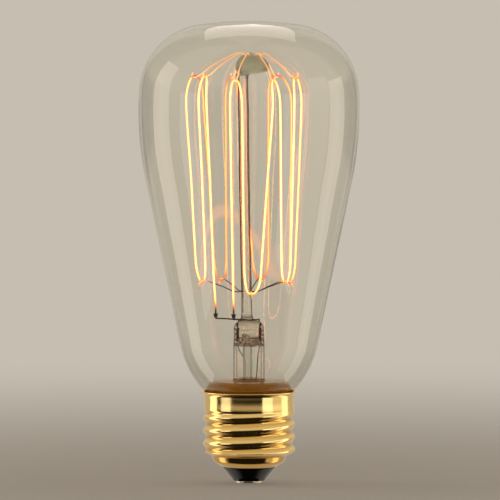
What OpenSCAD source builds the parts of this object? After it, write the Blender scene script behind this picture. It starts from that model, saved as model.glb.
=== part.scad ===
// Filament lamp of the pear-shaped squirrel-cage kind on a medium screw cap.
// Millimetres. The origin is the bottom of the centre contact, and +Z runs up the lamp's axis.
// The front is -Y. Angles round the axis start at the front and grow towards +X.

/* [Screw cap] */
// Diameter over the thread crests
thread_crest_d = 26.35; // [22:0.05:32]
// Distance from one thread crest to the next
thread_pitch = 3.63; // [3:0.01:4.4]
// Height of a crest over a root
thread_depth = 0.95; // [0.6:0.05:1.2]
// Height of the cap, from the contact to the top of its rim
cap_h = 26.4; // [25:0.1:32]
// Height of the plain collar above the thread
collar_h = 5; // [4.5:0.1:6]
// Radial step from the crests in to the plain collar
collar_step = 0.27; // [0.1:0.01:0.5]
// Reach of the rolled rim outside the collar
rim_reach = 0.95; // [0.6:0.05:1.4]
// Thickness of the brass sheet
shell_wall = 0.35; // [0.25:0.01:0.5]
// Diameter of the shell's lower mouth
mouth_d = 15.4; // [13:0.1:18]
// Height of the shell's lower mouth above the contact
mouth_z = 4.8; // [4:0.1:5.8]
// Radius gained for each millimetre up the lower side of the bowl over the mouth
bowl_slope = 1.65; // [1.4:0.05:2]
// Height of the bowl, from the mouth to the start of the thread
bowl_h = 3.2; // [2.9:0.1:3.5]

/* [Insulator and contact] */
// Diameter of the insulator's lower end
insulator_tip_d = 9.6; // [8.6:0.1:11.6]
// Height of the insulator's lower end
insulator_tip_z = 0.8; // [0.65:0.05:1]
// Height of the insulator's foot inside the shell
insulator_foot_h = 1.6; // [1.3:0.1:2]
// Diameter of the centre contact
contact_d = 7.8; // [6.5:0.1:8.5]
// Outer diameter of the contact's eyelet
eyelet_d = 1.5; // [1.3:0.05:1.8]
// Wall of the contact's eyelet
eyelet_wall = 0.3; // [0.2:0.05:0.36]
// Length of the contact's eyelet above the disc
eyelet_h = 1.4; // [1.1:0.1:1.7]
// Diameter of the solder on the centre contact
solder_d = 4.8; // [4:0.1:5.8]
// Thickness of the solder under the contact
solder_h = 0.25; // [0.2:0.01:0.3]

/* [Glass envelope] */
// Length of the whole lamp
overall_h = 131.8; // [109:0.1:160]
// Widest diameter of the glass
bulb_d = 63; // [52:0.5:76]
// Distance from the crown down to the widest place
widest_drop = 25.2; // [21:0.1:30]
// Radius of the arc over the crown
crown_radius = 100; // [83:1:120]
// Radius of the arc round the shoulder
shoulder_radius = 20.2; // [16.8:0.1:21.4]
// Radius of the arc down the side
side_radius = 100; // [84:1:120]
// Radius of the arc that turns in above the cap
throat_radius = 27; // [22:0.5:32]
// Radius of the fillet between throat and neck
neck_fillet = 2; // [1.6:0.1:2.4]
// Depth that the neck reaches into the cap
neck_depth = 4.6; // [4:0.1:4.8]
// Wall of the blown glass
glass_wall = 0.8; // [0.6:0.05:1]

/* [Stem] */
// Outer diameter of the stem tube
stem_d = 8.9; // [7.4:0.1:10.6]
// Wall of the stem tube and its flare
stem_wall = 0.8; // [0.6:0.05:1]
// Height of the stem above the cap's rim, up to the top of the press
stem_rise = 20.2; // [18:0.1:24]
// Height of the pinched press
press_h = 7.2; // [6.6:0.1:8.6]
// Width of the pinched press
press_w = 8.6; // [7.4:0.1:8.8]
// Thickness of the pinched press
press_t = 4; // [3.6:0.1:4.8]
// Level distance from the flare's flat shoulder to the glass round it
flare_shoulder_gap = 3.5; // [2.9:0.1:4.5]
// Radius of the fillet from the stem tube out to the flare's shoulder
flare_fillet = 1.4; // [1:0.1:2]
// Height of the flare's shoulder above the rim
flare_shoulder_z = 3; // [2.6:0.1:3.6]
// Outer diameter of the exhaust tube
exhaust_d = 2.6; // [2.2:0.1:3]
// Wall of the exhaust tube
exhaust_wall = 0.35; // [0.3:0.05:0.45]
// Height of the exhaust tube's sealed tip above the contact
exhaust_tip_z = 14; // [12.5:0.1:16.5]
// Diameter of the blow hole
blow_hole_d = 1.4; // [1.1:0.1:1.6]
// Diameter of the arbor rod
arbor_d = 3.05; // [2.5:0.05:3.7]
// Lean of the arbor rod towards -X, in degrees
arbor_lean = 1.1; // [0:0.1:1.3]
// Width of the glass button on the arbor
button_d = 10; // [9:0.1:10.6]
// Height of the glass button on the arbor
button_h = 6.1; // [5.5:0.1:7]
// Sideways distance from the arbor to the button's centre
button_shift = 2.7; // [2.3:0.1:3]
// Distance from the crown down to the widest place of the button
button_drop = 13.5; // [12.5:0.1:15.5]

/* [Wires] */
// Diameter of the molybdenum support wires
support_d = 0.3; // [0.25:0.01:0.36]
// Diameter of the nickel leads inside the bulb
inner_lead_d = 0.4; // [0.32:0.01:0.48]
// Diameter of the sealed wires in the press
seal_wire_d = 0.7; // [0.6:0.05:0.85]
// Diameter of the copper leads in the cap
outer_lead_d = 0.3; // [0.25:0.01:0.36]
// Distance between the two sealed wires
seal_spacing = 5.9; // [5.6:0.1:6.2]
// Outer diameter of the clamps on the filament's ends
clamp_d = 1; // [0.85:0.05:1.2]
// Length of the clamps on the filament's ends
clamp_h = 1.1; // [1:0.1:1.4]

/* [Filament] */
// Outer diameter of the wound filament wire
filament_d = 0.5; // [0.4:0.01:0.6]
// Radius of the cage at the upper bends
cage_r = 16.3; // [14:0.1:19]
// Radius of the cage at the lower bends
cage_low_r = 14.4; // [12.4:0.1:17]
// Distance from the crown down to the upper bends
cage_drop = 15.8; // [14:0.1:19]
// Height of the lower bends above the press
cage_rise = 10.9; // [10:0.1:13]
// Height of an upper bend
upper_bend_h = 7; // [6:0.1:8.4]
// Height of a lower bend
lower_bend_h = 6.5; // [6:0.1:7.8]
// Reach of the cage outside its upper hooks
upper_hook_inset = 1.5; // [1.2:0.1:1.8]
// Reach of the cage outside its lower hooks
lower_hook_inset = 1.3; // [1:0.1:1.6]

/* [Clearances] */
// Gap that stands for a fused, welded or soldered joint
seal_gap = 0.02; // [0.01:0.01:0.04]
// Gap between the cement and what it holds
cement_gap = 0.05; // [0.02:0.01:0.06]
// Gap between the filament and a hook
hook_gap = 0.08; // [0.06:0.01:0.12]

/* [Hidden] */
// Bends of the filament, in the order that it runs: the angle of the leg that arrives, of the
// hook and of the leg that leaves, the bend's height over the cage's own, and its extra radius.
upper_bends = [
    [-39, -45, -50, 0.5, 0],
    [-97, -112, -136, 0.1, 0],
    [-162, -168, -175, -0.4, 0],
    [-206, -222, -238, 0, 0],
    [-264, -281, -300, 0.3, 0.5],
    [-320, -324, -329, -0.7, 0],
    [-361, -368, -373, -0.8, 0],
];
lower_bends = [
    [-53, -75, -90, 0, 0],
    [-140, -146, -157, -0.1, 0],
    [-188, -199, -207, 0.2, 0],
    [-241, -250, -258, -0.6, 0],
    [-299, -302, -316, 0.1, 0],
    [-343, -354, -362, -2.6, 0],
];
// Angles of the filament's first and last leg, where they pass the lower bends.
first_leg = -40;
last_leg = -375;

curve_fn = 64;
shell_columns = 44;
rows_per_turn = 9;
wire_sides = 6;
bend_knots = [0, 25, 50, 70, 82, 90, 98, 110, 130, 155, 180];
throat_angle = 45;
upper_count = len(upper_bends);
lower_count = len(lower_bends);

// Radii of the cap, from the thread crests inwards.
crest_r = thread_crest_d / 2;
thread_mean_r = crest_r - thread_depth / 2;
collar_r = crest_r - collar_step;
collar_bore_r = collar_r - shell_wall;
root_r = crest_r - thread_depth;
root_bore_r = root_r - shell_wall;
mouth_r = mouth_d / 2;

// Heights in the cap.
thread_top_z = cap_h - collar_h;
thread_fade_h = 0.45 * thread_pitch;
rim_base_z = cap_h - rim_reach - shell_wall;
thread_start_z = mouth_z + 4.89;

// The bowl: its upper side is nearly upright, and the thread runs out over it.
bowl_top_z = mouth_z + bowl_h;
bowl_top_r = mix(mouth_r, root_r, 0.68);
bowl_side_slope = 0.09 * (root_r - mouth_r);
run_out_slope = 2;
bowl_blend = 0.5;
bowl_row_count = 6;

// The neck stands in the collar with a ring of cement round it.
cement_t = 0.95;
neck_r = collar_bore_r - cement_t;
neck_end_z = cap_h - neck_depth;
neck_top_z = cap_h - 2.1;

// Arcs of the envelope's outer line as [radius, height] centres, each tangent to the next.
bulb_r = bulb_d / 2;
widest_z = overall_h - widest_drop;
crown_c = [0, overall_h - crown_radius];
side_c = [bulb_r - side_radius, widest_z];
shoulder_c = outer_crossing(
    crown_c, crown_radius - shoulder_radius, side_c, side_radius - shoulder_radius
);
throat_end = [
    neck_r + neck_fillet * (1 - cos(throat_angle)), neck_top_z + neck_fillet * sin(throat_angle)
];
throat_c = throat_end - throat_radius * [cos(throat_angle), -sin(throat_angle)];
crown_end = direction(shoulder_c - crown_c);
shoulder_end = direction(shoulder_c - side_c);
side_run = side_c - throat_c;
taper_angle = acos((throat_radius - side_radius) / norm(side_run)) - direction(side_run);

// Heights of the mount.
press_top_z = cap_h + stem_rise;
press_base_z = press_top_z - press_h;
stem_r = stem_d / 2;
exhaust_r = exhaust_d / 2;
exhaust_x = -0.4;
exhaust_top_z = press_base_z + 2;
blow_hole_z = exhaust_top_z + blow_hole_d / 2 + 0.2;
arbor_foot_z = press_top_z - 2.4;
arbor_foot_x = -0.45;
arbor_r = arbor_d / 2;
button_z = overall_h - button_drop;
button_dome_h = 0.74 * button_h;
button_foot_h = button_h - button_dome_h;
arbor_top_z = button_z + 0.5;
cage_top_z = overall_h - cage_drop;
cage_base_z = press_top_z + cage_rise;
support_ring_z = cage_base_z - 2.7;
support_r = support_d / 2;
filament_r = filament_d / 2;
hook_offset = filament_r + support_r + hook_gap;
hook_rise = 1.4;

// Where the wires start and end.
inner_lead_r = inner_lead_d / 2;
outer_lead_r = outer_lead_d / 2;
seal_wire_r = seal_wire_d / 2;
seal_x = seal_spacing / 2;
seal_low_z = press_base_z + 1.6;
seal_high_z = press_top_z - 2;
clamp_z = press_top_z + 1.2;
clamp_left = [-9.4, -5.8];
clamp_right = [-4.3, -9.6];
clamp_bore_r = max(filament_r, inner_lead_r) + seal_gap;

function unit(v) = v / norm(v);
function direction(v) = atan2(v[1], v[0]);
function mix(a, b, t) = a + (b - a) * t;
function clamp01(t) = min(max(t, 0), 1);
function ease(t) = let (u = clamp01(t)) u * u * (3 - 2 * u);
function soft_min(a, b, k) = let (h = max(k - abs(a - b), 0) / k) min(a, b) - h * h * k / 4;
function reversed(list) = [for (i = [len(list) - 1:-1:0]) list[i]];

// The crossing, on the side away from the axis, of two circles given by centre and radius.
function outer_crossing(c1, r1, c2, r2) =
    let (span = norm(c2 - c1), u = (c2 - c1) / span)
    let (along = (r1 * r1 - r2 * r2 + span * span) / (2 * span))
    c1 + u * along + [u[1], -u[0]] * sqrt(r1 * r1 - along * along);

// Points along an arc, from angle a0 to a1. The first one is left out where the line goes on.
function arc(c, r, a0, a1, steps, first = 0) =
    [for (i = [first:steps]) c + r * [cos(mix(a0, a1, i / steps)), sin(mix(a0, a1, i / steps))]];

// A smooth line through points, with the slopes at its two ends as given or else straight on.
function knot_slope(p, i) =
    let (a = p[i] - p[i - 1], b = p[i + 1] - p[i], la = norm(a), lb = norm(b))
    (a * lb / la + b * la / lb) / (la + lb);
function span_point(p, q, m, n, t) =
    let (d = norm(q - p), t2 = t * t, t3 = t2 * t)
    p * (2 * t3 - 3 * t2 + 1) + m * d * (t3 - 2 * t2 + t) + q * (3 * t2 - 2 * t3) + n * d * (t3 - t2);
function smooth_line(p, steps, start = undef, end = undef) =
    let (last = len(p) - 1)
    let (first_slope = is_undef(start) ? unit(p[1] - p[0]) : unit(start))
    let (last_slope = is_undef(end) ? unit(p[last] - p[last - 1]) : unit(end))
    let (slopes = [for (i = [0:last]) i == 0 ? first_slope : i == last ? last_slope : knot_slope(p, i)])
    concat(
        [p[0]],
        [for (i = [1:last], s = [1:steps]) span_point(p[i - 1], p[i], slopes[i - 1], slopes[i], s / steps)]
    );

// The line at a distance to the right of a [radius, height] line that runs downwards.
function beside(line, d) = [
    for (i = [0:len(line) - 1])
        let (t = unit(line[min(i + 1, len(line) - 1)] - line[max(i - 1, 0)]))
        line[i] + d * [t[1], -t[0]]
];

// A tube along a path: rings of points carried along without twist, and their faces.
function tangents(path) = [
    for (i = [0:len(path) - 1]) unit(path[min(i + 1, len(path) - 1)] - path[max(i - 1, 0)])
];
function square_to(n, t) = unit(n - (n * t) * t);
function normals(t, i, n) =
    i == len(t) ? [] : let (m = square_to(n, t[i])) concat([m], normals(t, i + 1, m));
function tube_points(path, r, sides) =
    let (t = tangents(path), n = normals(t, 0, abs(t[0][2]) < 0.9 ? [0, 0, 1] : [1, 0, 0]))
    [
        for (i = [0:len(path) - 1], s = [0:sides - 1])
            let (a = 360 * s / sides, b = cross(t[i], n[i]))
            path[i] + r * (cos(a) * n[i] + sin(a) * b)
    ];
function tube_faces(rings, sides) = concat(
    [for (s = [1:sides - 2]) [0, s, s + 1]],
    [for (s = [1:sides - 2]) let (k = (rings - 1) * sides) [k, k + s + 1, k + s]],
    [
        for (i = [0:rings - 2], s = [0:sides - 1], half = [0, 1])
            let (a = i * sides + s, b = i * sides + (s + 1) % sides)
            half == 0 ? [a, a + sides, b] : [b, a + sides, b + sides]
    ]
);

// A point of the cage: an angle, a radius round the leaning arbor, and a height.
function arbor_x(z) = arbor_foot_x - (z - arbor_foot_z) * tan(arbor_lean);
button_x = arbor_x(button_z) + button_shift;
function cage_point(angle, r, z) = [arbor_x(z) + r * sin(angle), -r * cos(angle), z];

// Radius and height of a bend's hook.
function upper_hook(i) =
    let (b = upper_bends[i]) [b[1], cage_r + b[4] - upper_hook_inset, cage_top_z + b[3]];
function lower_hook(i) =
    let (b = lower_bends[i]) [b[1], cage_low_r + b[4] - lower_hook_inset, cage_base_z + b[3]];

// A bend: half an oval from the leg that arrives, over the hook, to the leg that leaves. It is
// blunter than an ellipse at its tip, so that the hook has room in it.
function bend_points(b, leg_r, hook, leg_z) = [
    for (f = bend_knots)
        let (middle = (b[0] + b[2]) / 2, across = sign(cos(f)) * pow(abs(cos(f)), 2 / 3))
        let (angle = mix(b[0], b[2], (1 - across) / 2) + (b[1] - middle) * pow(sin(f), 3))
        cage_point(angle, mix(leg_r, hook[1], pow(sin(f), 2)), mix(leg_z, hook[2], sin(f)))
];
function upper_bend(i) =
    let (b = upper_bends[i], hook = upper_hook(i))
    bend_points(b, cage_r + b[4], hook, hook[2] - upper_bend_h);
function lower_bend(i) =
    let (b = lower_bends[i], hook = lower_hook(i))
    bend_points(b, cage_low_r + b[4], hook, hook[2] + lower_bend_h);

// Points between two ends of a leg, about one for each stretch of the given length.
function between(p, q, stretch) =
    let (n = floor(norm(q - p) / stretch)) [for (i = [1:1:n - 1]) mix(p, q, i / n)];
function end_of(list) = list[len(list) - 1];
function joined(a, b, stretch) = concat(a, between(end_of(a), b[0], stretch), b);

// The filament from its left clamp, up and down round the cage, to its right clamp.
clamp_mid_z = clamp_z + clamp_h / 2;
clamp_top_z = clamp_z + clamp_h;
filament_low_z = cage_base_z + lower_bend_h;
function filament_end(clamp, angle) =
    let (low = concat(clamp, [clamp_top_z + 0.5]), leg = cage_point(angle, cage_low_r, filament_low_z))
    concat(
        [concat(clamp, [clamp_mid_z + seal_gap])],
        smooth_line([low, mix(low, leg, 0.45) - [0, 0.5, 0], leg], 4, [0, 0, 1], [0, 0, 1])
    );
function chained(i, stretch) =
    i == upper_count - 1
        ? upper_bend(i)
        : joined(upper_bend(i), joined(lower_bend(i), chained(i + 1, stretch), stretch), stretch);
function filament_path(stretch) = joined(
    filament_end(clamp_left, first_leg),
    joined(chained(0, stretch), reversed(filament_end(clamp_right, last_leg)), stretch),
    stretch
);

// Least gap between two stretches of the filament that aren't neighbours along it.
function distances(path, i, so_far) =
    i == len(path) ? [] : let (d = so_far + norm(path[i] - path[i - 1])) concat([d], distances(path, i + 1, d));
function least_gap(path, r, run) =
    let (d = concat([0], distances(path, 1, 0)), last = len(path) - 1)
    min([for (i = [0:last], j = [i + 1:1:last]) if (d[j] - d[i] > run) norm(path[i] - path[j])]) - 2 * r;

leg_stretch = 16;
gap_stretch = 1.5;
neighbour_run = 4;
echo(str("least gap of the filament to itself: ",
    least_gap(filament_path(gap_stretch), filament_r, neighbour_run), " mm"));

// A round bar or hole between two points.
module bar(p, q, r) {
    v = q - p;
    translate(p)
        rotate([0, acos(v[2] / norm(v)), atan2(v[1], v[0])])
            cylinder(h = norm(v), r = r, $fn = curve_fn);
}

module wire(path, r) {
    polyhedron(tube_points(path, r, wire_sides), tube_faces(len(path), wire_sides), convexity = 8);
}

// The envelope's outer line, moved in by a distance, from the crown down to the end of the neck.
function envelope_line(inset) = concat(
    arc(crown_c, crown_radius - inset, 90, crown_end, 10),
    arc(shoulder_c, shoulder_radius - inset, crown_end, shoulder_end, 14, 1),
    arc(side_c, side_radius - inset, shoulder_end, -taper_angle, 8, 1),
    arc(throat_c, throat_radius - inset, -taper_angle, -throat_angle, 13, 1),
    arc([neck_r + neck_fillet, neck_top_z], neck_fillet + inset, 180 - throat_angle, 180, 5, 1),
    [[neck_r - inset, neck_end_z]]
);

module glass_envelope() {
    color([0.93, 0.88, 0.72, 0.25])
        rotate_extrude($fn = curve_fn)
            polygon(concat(envelope_line(0), reversed(envelope_line(glass_wall))));
}

// The flare's foot is sealed to the inside of the throat, between these two heights.
foot_top_z = cap_h + 0.9;
foot_end_z = cap_h + 0.1;
function throat_point(z) =
    let (r = throat_radius - glass_wall - 2 * seal_gap, drop = throat_c[1] - z)
    [throat_c[0] + sqrt(r * r - drop * drop), z];
function flare_line() =
    let (shoulder_z = cap_h + flare_shoulder_z, fillet_r = stem_r + flare_fillet)
    let (shoulder_r = throat_point(shoulder_z)[0] - flare_shoulder_gap)
    concat(
        [[stem_r, press_base_z - seal_gap]],
        arc([fillet_r, shoulder_z + flare_fillet], flare_fillet, 180, 270, 6),
        [[shoulder_r - 1.4, shoulder_z - 0.05]],
        smooth_line(
            [
                [shoulder_r - 0.7, shoulder_z - 0.1],
                [shoulder_r + 0.2, shoulder_z - 0.45],
                throat_point(foot_top_z)
            ],
            4, [1, -0.1]
        )
    );

module stem_flare() {
    line = flare_line();
    inner = beside(line, stem_wall);
    color([0.9, 0.88, 0.8, 0.4])
        rotate_extrude($fn = curve_fn)
            polygon(concat(line, [throat_point(foot_end_z)], [for (i = [len(inner) - 2:-1:0]) inner[i]]));
}

// Outline of the press seen from the front, with its upper corners rounded.
function press_front() =
    let (corner = 2.4, half_w = press_w / 2)
    concat(
        [[-half_w, press_base_z], [half_w, press_base_z]],
        arc([half_w - corner, press_top_z - corner], corner, 0, 90, 6),
        arc([corner - half_w, press_top_z - corner], corner, 90, 180, 6)
    );
// Outline of the press seen from the side: a round foot drawn in to the pinch.
function press_side() =
    let (half_t = press_t / 2, foot = stem_r + 0.5, draw = foot - half_t, bite_h = 2.2, lip = 0.6)
    let (edge = [
        for (i = [0:6])
            [half_t + draw * (1 - sin(15 * i)), press_base_z + lip + bite_h * (1 - cos(15 * i))]
    ])
    let (right = concat(
        [[foot, press_base_z]], edge, arc([half_t - 1, press_top_z - 1], 1, 0, 90, 4)
    ))
    concat(right, [for (p = reversed(right)) [-p[0], p[1]]]);

module press_holes() {
    bar([exhaust_x, 0, press_base_z - 1], [exhaust_x, 0, exhaust_top_z], exhaust_r + seal_gap);
    bar(
        [exhaust_x, 0, exhaust_top_z - seal_gap], [exhaust_x, 0, blow_hole_z + 0.4],
        exhaust_r - exhaust_wall
    );
    bar([exhaust_x, -stem_r, blow_hole_z], [exhaust_x, 0, blow_hole_z], blow_hole_d / 2);
    arbor_bar(arbor_r + seal_gap, seal_gap);
    for (x = [-seal_x, seal_x]) {
        bar([x, 0, press_base_z - 1], [x, 0, seal_low_z + 0.1], outer_lead_r + seal_gap);
        bar([x, 0, seal_low_z], [x, 0, seal_high_z], seal_wire_r + seal_gap);
        bar([x, 0, seal_high_z - 0.1], [x, 0, press_top_z + 1], inner_lead_r + seal_gap);
    }
}

module stem_press() {
    color([0.85, 0.82, 0.72, 0.5])
        difference() {
            intersection() {
                rotate([90, 0, 0])
                    linear_extrude(height = stem_d + 2, center = true) polygon(press_front());
                rotate([90, 0, 90])
                    linear_extrude(height = stem_d + 1, center = true) polygon(press_side());
                translate([0, 0, press_base_z]) cylinder(h = press_h + 1, r = stem_r, $fn = curve_fn);
            }
            press_holes();
        }
}

module exhaust_tube() {
    bore_r = exhaust_r - exhaust_wall;
    tip = [for (a = [0:15:90]) [exhaust_r * sin(a), exhaust_tip_z + exhaust_d * (1 - cos(a))]];
    bore_tip_z = exhaust_tip_z + 1.2 * exhaust_d;
    color([0.9, 0.88, 0.8, 0.4])
        translate([exhaust_x, 0, 0])
            rotate_extrude($fn = curve_fn)
                polygon(concat(
                    tip,
                    [[exhaust_r, exhaust_top_z - seal_gap], [bore_r, exhaust_top_z - seal_gap]],
                    [[bore_r, bore_tip_z + bore_r], [0, bore_tip_z]]
                ));
}

// The arbor as a bar of a given radius, a given distance longer at each end.
module arbor_bar(r, longer) {
    low_z = arbor_foot_z - longer;
    high_z = arbor_top_z + longer;
    bar([arbor_x(low_z), 0, low_z], [arbor_x(high_z), 0, high_z], r);
}

// Start of a lower support, sealed in the arbor, and the way that it leaves.
lower_seat_r = 0.75;
function lower_out(i) = let (a = lower_hook(i)[0]) [sin(a), -cos(a), 0];
function lower_seat(i) = [arbor_x(support_ring_z), 0, support_ring_z] + lower_seat_r * lower_out(i);

module arbor_rod() {
    color([0.75, 0.78, 0.7, 0.6])
        difference() {
            arbor_bar(arbor_r, 0);
            for (i = [0:lower_count - 1])
                bar(
                    lower_seat(i) - seal_gap * lower_out(i), lower_seat(i) + arbor_d * lower_out(i),
                    support_r + seal_gap
                );
        }
}

// Start of an upper support, sealed in the button, and the level direction to its hook.
function upper_hook_point(i) =
    let (h = upper_hook(i)) cage_point(h[0], h[1], h[2] - hook_offset);
function upper_level(i) = let (h = upper_hook_point(i)) [h[0] - button_x, h[1]];
function upper_point(i, r, rise) =
    let (u = unit(upper_level(i))) [button_x + r * u[0], r * u[1], button_z + rise];
upper_seat = [0.18 * button_d / 2, 0.66 * button_dome_h];
upper_exit = [0.6 * button_d / 2, 0.93 * button_dome_h];

module upper_button() {
    color([0.62, 0.68, 0.6, 0.8])
        difference() {
            translate([button_x, 0, button_z])
                rotate_extrude($fn = curve_fn)
                    polygon([
                        for (a = [-90:10:90])
                            [button_d / 2 * cos(a), (a < 0 ? button_foot_h : button_dome_h) * sin(a)]
                    ]);
            arbor_bar(arbor_r + seal_gap, seal_gap);
            for (i = [0:upper_count - 1]) {
                seat = upper_point(i, upper_seat[0], upper_seat[1]);
                way = unit(upper_point(i, upper_exit[0], upper_exit[1]) - seat);
                bar(seat - seal_gap * way, seat + button_d / 2 * way, support_r + seal_gap);
            }
        }
}

// An upper support: out of the button, over in an arch, under the bend and up at its end.
module upper_support(i) {
    reach = norm(upper_level(i));
    hook_rise_z = upper_hook_point(i)[2] - button_z;
    seat = upper_point(i, upper_seat[0], upper_seat[1]);
    out = upper_point(i, upper_exit[0], upper_exit[1]);
    arch = smooth_line(
        [
            out,
            upper_point(i, 0.47 * reach, 0.62 * button_dome_h),
            upper_point(i, 0.72 * reach, 0.09 * button_dome_h),
            upper_point(i, reach - 1, hook_rise_z + 0.35),
            upper_point(i, reach, hook_rise_z),
            upper_point(i, reach + 0.7, hook_rise_z + 0.55),
            upper_point(i, reach + 0.6, hook_rise_z + hook_rise)
        ],
        3, out - seat
    );
    color([0.35, 0.32, 0.3]) wire(concat([seat], arch), support_r);
}

// A lower support: out of the arbor, through the bend above the filament and down at its end.
module lower_support(i) {
    h = lower_hook(i);
    out = lower_out(i);
    seat = lower_seat(i);
    top = cage_point(h[0], h[1], h[2] + hook_offset);
    start = seat + (arbor_r + 0.4) * out;
    run = smooth_line(
        [
            start,
            mix(start, top - out, 0.5) + [0, 0, 0.1],
            top - 0.9 * out,
            top,
            top + 0.7 * out - [0, 0, 0.55],
            top + 0.9 * out - [0, 0, 2.2]
        ],
        3, out
    );
    color([0.35, 0.32, 0.3]) wire(concat([seat], run), support_r);
}

module filament() {
    color([1, 0.72, 0.3]) wire(filament_path(leg_stretch), filament_r);
}

module filament_clamp(at) {
    color([0.66, 0.64, 0.6])
        translate(concat(at, [clamp_z]))
            difference() {
                cylinder(h = clamp_h, r = clamp_d / 2, $fn = curve_fn);
                translate([0, 0, -1]) cylinder(h = clamp_h + 2, r = clamp_bore_r, $fn = curve_fn);
            }
}

// An inner lead: out of the press on one side, by way of points, up into its clamp.
module inner_lead(side, way, clamp) {
    start = [side * seal_x, 0, seal_high_z + seal_gap];
    top = [side * seal_x, 0, press_top_z + 0.2];
    low = concat(clamp, [clamp_z - 0.1]);
    color([0.66, 0.64, 0.6])
        wire(
            concat(
                [start],
                smooth_line(concat([top], way, [low]), 4, [0, 0, 1], [0, 0, 1]),
                [concat(clamp, [clamp_mid_z - seal_gap])]
            ),
            inner_lead_r
        );
}

function above_press(p) = [p[0], p[1], press_top_z + p[2]];
left_way = [
    above_press([-3.7, -0.6, 0.25]), above_press([-6.4, -3, 0.65]), above_press([-8.6, -5.05, 0.9])
];
right_way = [
    above_press([2.3, -0.8, 0.25]), above_press([0.4, -3.5, 0.3]),
    above_press([-1.9, -6.4, 0.7]), above_press([-3.8, -9, 0.9])
];

module inner_lead_left() inner_lead(-1, left_way, clamp_left);
module inner_lead_right() inner_lead(1, right_way, clamp_right);

module seal_wire(side) {
    x = side * seal_x;
    color([0.45, 0.16, 0.1])
        bar([x, 0, seal_low_z + seal_gap], [x, 0, seal_high_z - seal_gap], seal_wire_r);
}

// Middle of the ring between the neck and the collar, where the side lead climbs.
lead_climb_r = (neck_r + collar_bore_r) / 2;
insulator_top_z = mouth_z + insulator_foot_h;

// The lead to the shell: behind the exhaust tube, under the neck and up to the rim at the back.
module outer_lead_side() {
    bore_y = stem_r - stem_wall;
    color([0.72, 0.4, 0.22])
        wire(
            concat(
                [[-seal_x, 0, seal_low_z - seal_gap]],
                smooth_line(
                    [
                        [-seal_x, 0, press_base_z - 0.4],
                        [-1.6, 1.5, press_base_z - 3.6],
                        [-1.4, 0.72 * bore_y, press_base_z - 8],
                        [-0.3, bore_y, cap_h - 1],
                        [0, 0.62 * neck_r, neck_end_z - 2.2],
                        [0, neck_r - 0.2, neck_end_z - 0.9],
                        [0, lead_climb_r - 0.1, neck_end_z - 0.2],
                        [0, lead_climb_r, neck_end_z + 0.9],
                        [0, lead_climb_r, neck_top_z],
                        [0, collar_bore_r - 0.4, rim_base_z],
                        [0, collar_bore_r - 0.1, rim_base_z + 0.65],
                        [0, collar_bore_r + 0.4, cap_h - 0.17],
                        [0, collar_bore_r + 0.85, cap_h + 0.35]
                    ],
                    3, [0, 0, -1]
                )
            ),
            outer_lead_r
        );
}

// The lead to the contact: in front of the exhaust tube and down through the eyelet.
module outer_lead_centre() {
    color([0.72, 0.4, 0.22])
        wire(
            concat(
                [[seal_x, 0, seal_low_z - seal_gap]],
                smooth_line(
                    [
                        [seal_x, 0, press_base_z - 0.4],
                        [2.5, -0.7, press_base_z - 3],
                        [2.1, -1.5, press_base_z - 8],
                        [1.2, -2.1, cap_h - 1],
                        [0.8, -2.2, exhaust_tip_z + 3],
                        [0.2, -1.2, exhaust_tip_z - 3],
                        [0, 0, insulator_top_z + 0.6]
                    ],
                    3, [0, 0, -1], [0, 0, -1]
                ),
                [[0, 0, insulator_tip_z - 0.2]]
            ),
            outer_lead_r
        );
}

// Radius of the shell's outer face at a height and an angle. The thread is right-handed and of
// the rounded knuckle form; it runs out over the bowl below and fades into the collar above.
function bowl_r(z) = soft_min(
    mouth_r + bowl_slope * (z - mouth_z), bowl_top_r + bowl_side_slope * (z - bowl_top_z), bowl_blend
);
function run_out_r(z) = bowl_top_r + run_out_slope * (z - bowl_top_z);
function thread_r(z, a) =
    let (fade = ease((z - thread_top_z + thread_fade_h) / thread_fade_h))
    let (wave = cos(360 * (z - thread_start_z) / thread_pitch - a))
    mix(thread_mean_r + thread_depth / 2 * wave, collar_r, fade);
function shell_r(z, a) = soft_min(thread_r(z, a), max(bowl_r(z), run_out_r(z)), bowl_blend);

// Rows of the shell's section, from its mouth up the outer face and back down the inner one:
// a height, a radius where it is fixed, and whether the row lies on the inner face.
thread_rows = ceil((thread_top_z - bowl_top_z) / thread_pitch * rows_per_turn);
shell_heights = concat(
    [for (i = [0:bowl_row_count - 1]) mix(mouth_z, bowl_top_z, i / bowl_row_count)],
    [for (i = [0:thread_rows]) mix(bowl_top_z, thread_top_z, i / thread_rows)]
);
rim_turn = [for (a = [0:30:90]) a];
shell_rows = concat(
    [for (z = shell_heights) [z, undef, false]],
    [for (a = rim_turn) [rim_base_z + rim_reach * sin(a), collar_r + rim_reach * (1 - cos(a)), false]],
    [
        for (a = reversed(rim_turn))
            let (r = rim_reach + shell_wall)
            [rim_base_z + r * sin(a), collar_r + rim_reach - r * cos(a), true]
    ],
    [for (z = reversed(shell_heights)) [z, undef, true]]
);
// The inner face is drawn outside its flats, so that nothing inside it meets a flat.
function row_r(row, a) =
    row[2]
        ? (is_undef(row[1]) ? shell_r(row[0], a) - shell_wall : row[1]) / cos(180 / shell_columns)
        : is_undef(row[1]) ? shell_r(row[0], a) : row[1];

module screw_shell() {
    rows = len(shell_rows);
    points = [
        for (c = [0:shell_columns - 1], row = shell_rows)
            let (a = 360 * c / shell_columns, r = row_r(row, a)) [r * cos(a), r * sin(a), row[0]]
    ];
    faces = [
        for (c = [0:shell_columns - 1], i = [0:rows - 1], half = [0, 1])
            let (d = (c + 1) % shell_columns, j = (i + 1) % rows)
            let (p = c * rows + i, q = c * rows + j, s = d * rows + i, t = d * rows + j)
            half == 0 ? [p, q, t] : [p, t, s]
    ];
    color([0.83, 0.66, 0.32]) polyhedron(points, faces, convexity = 8);
}

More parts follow.
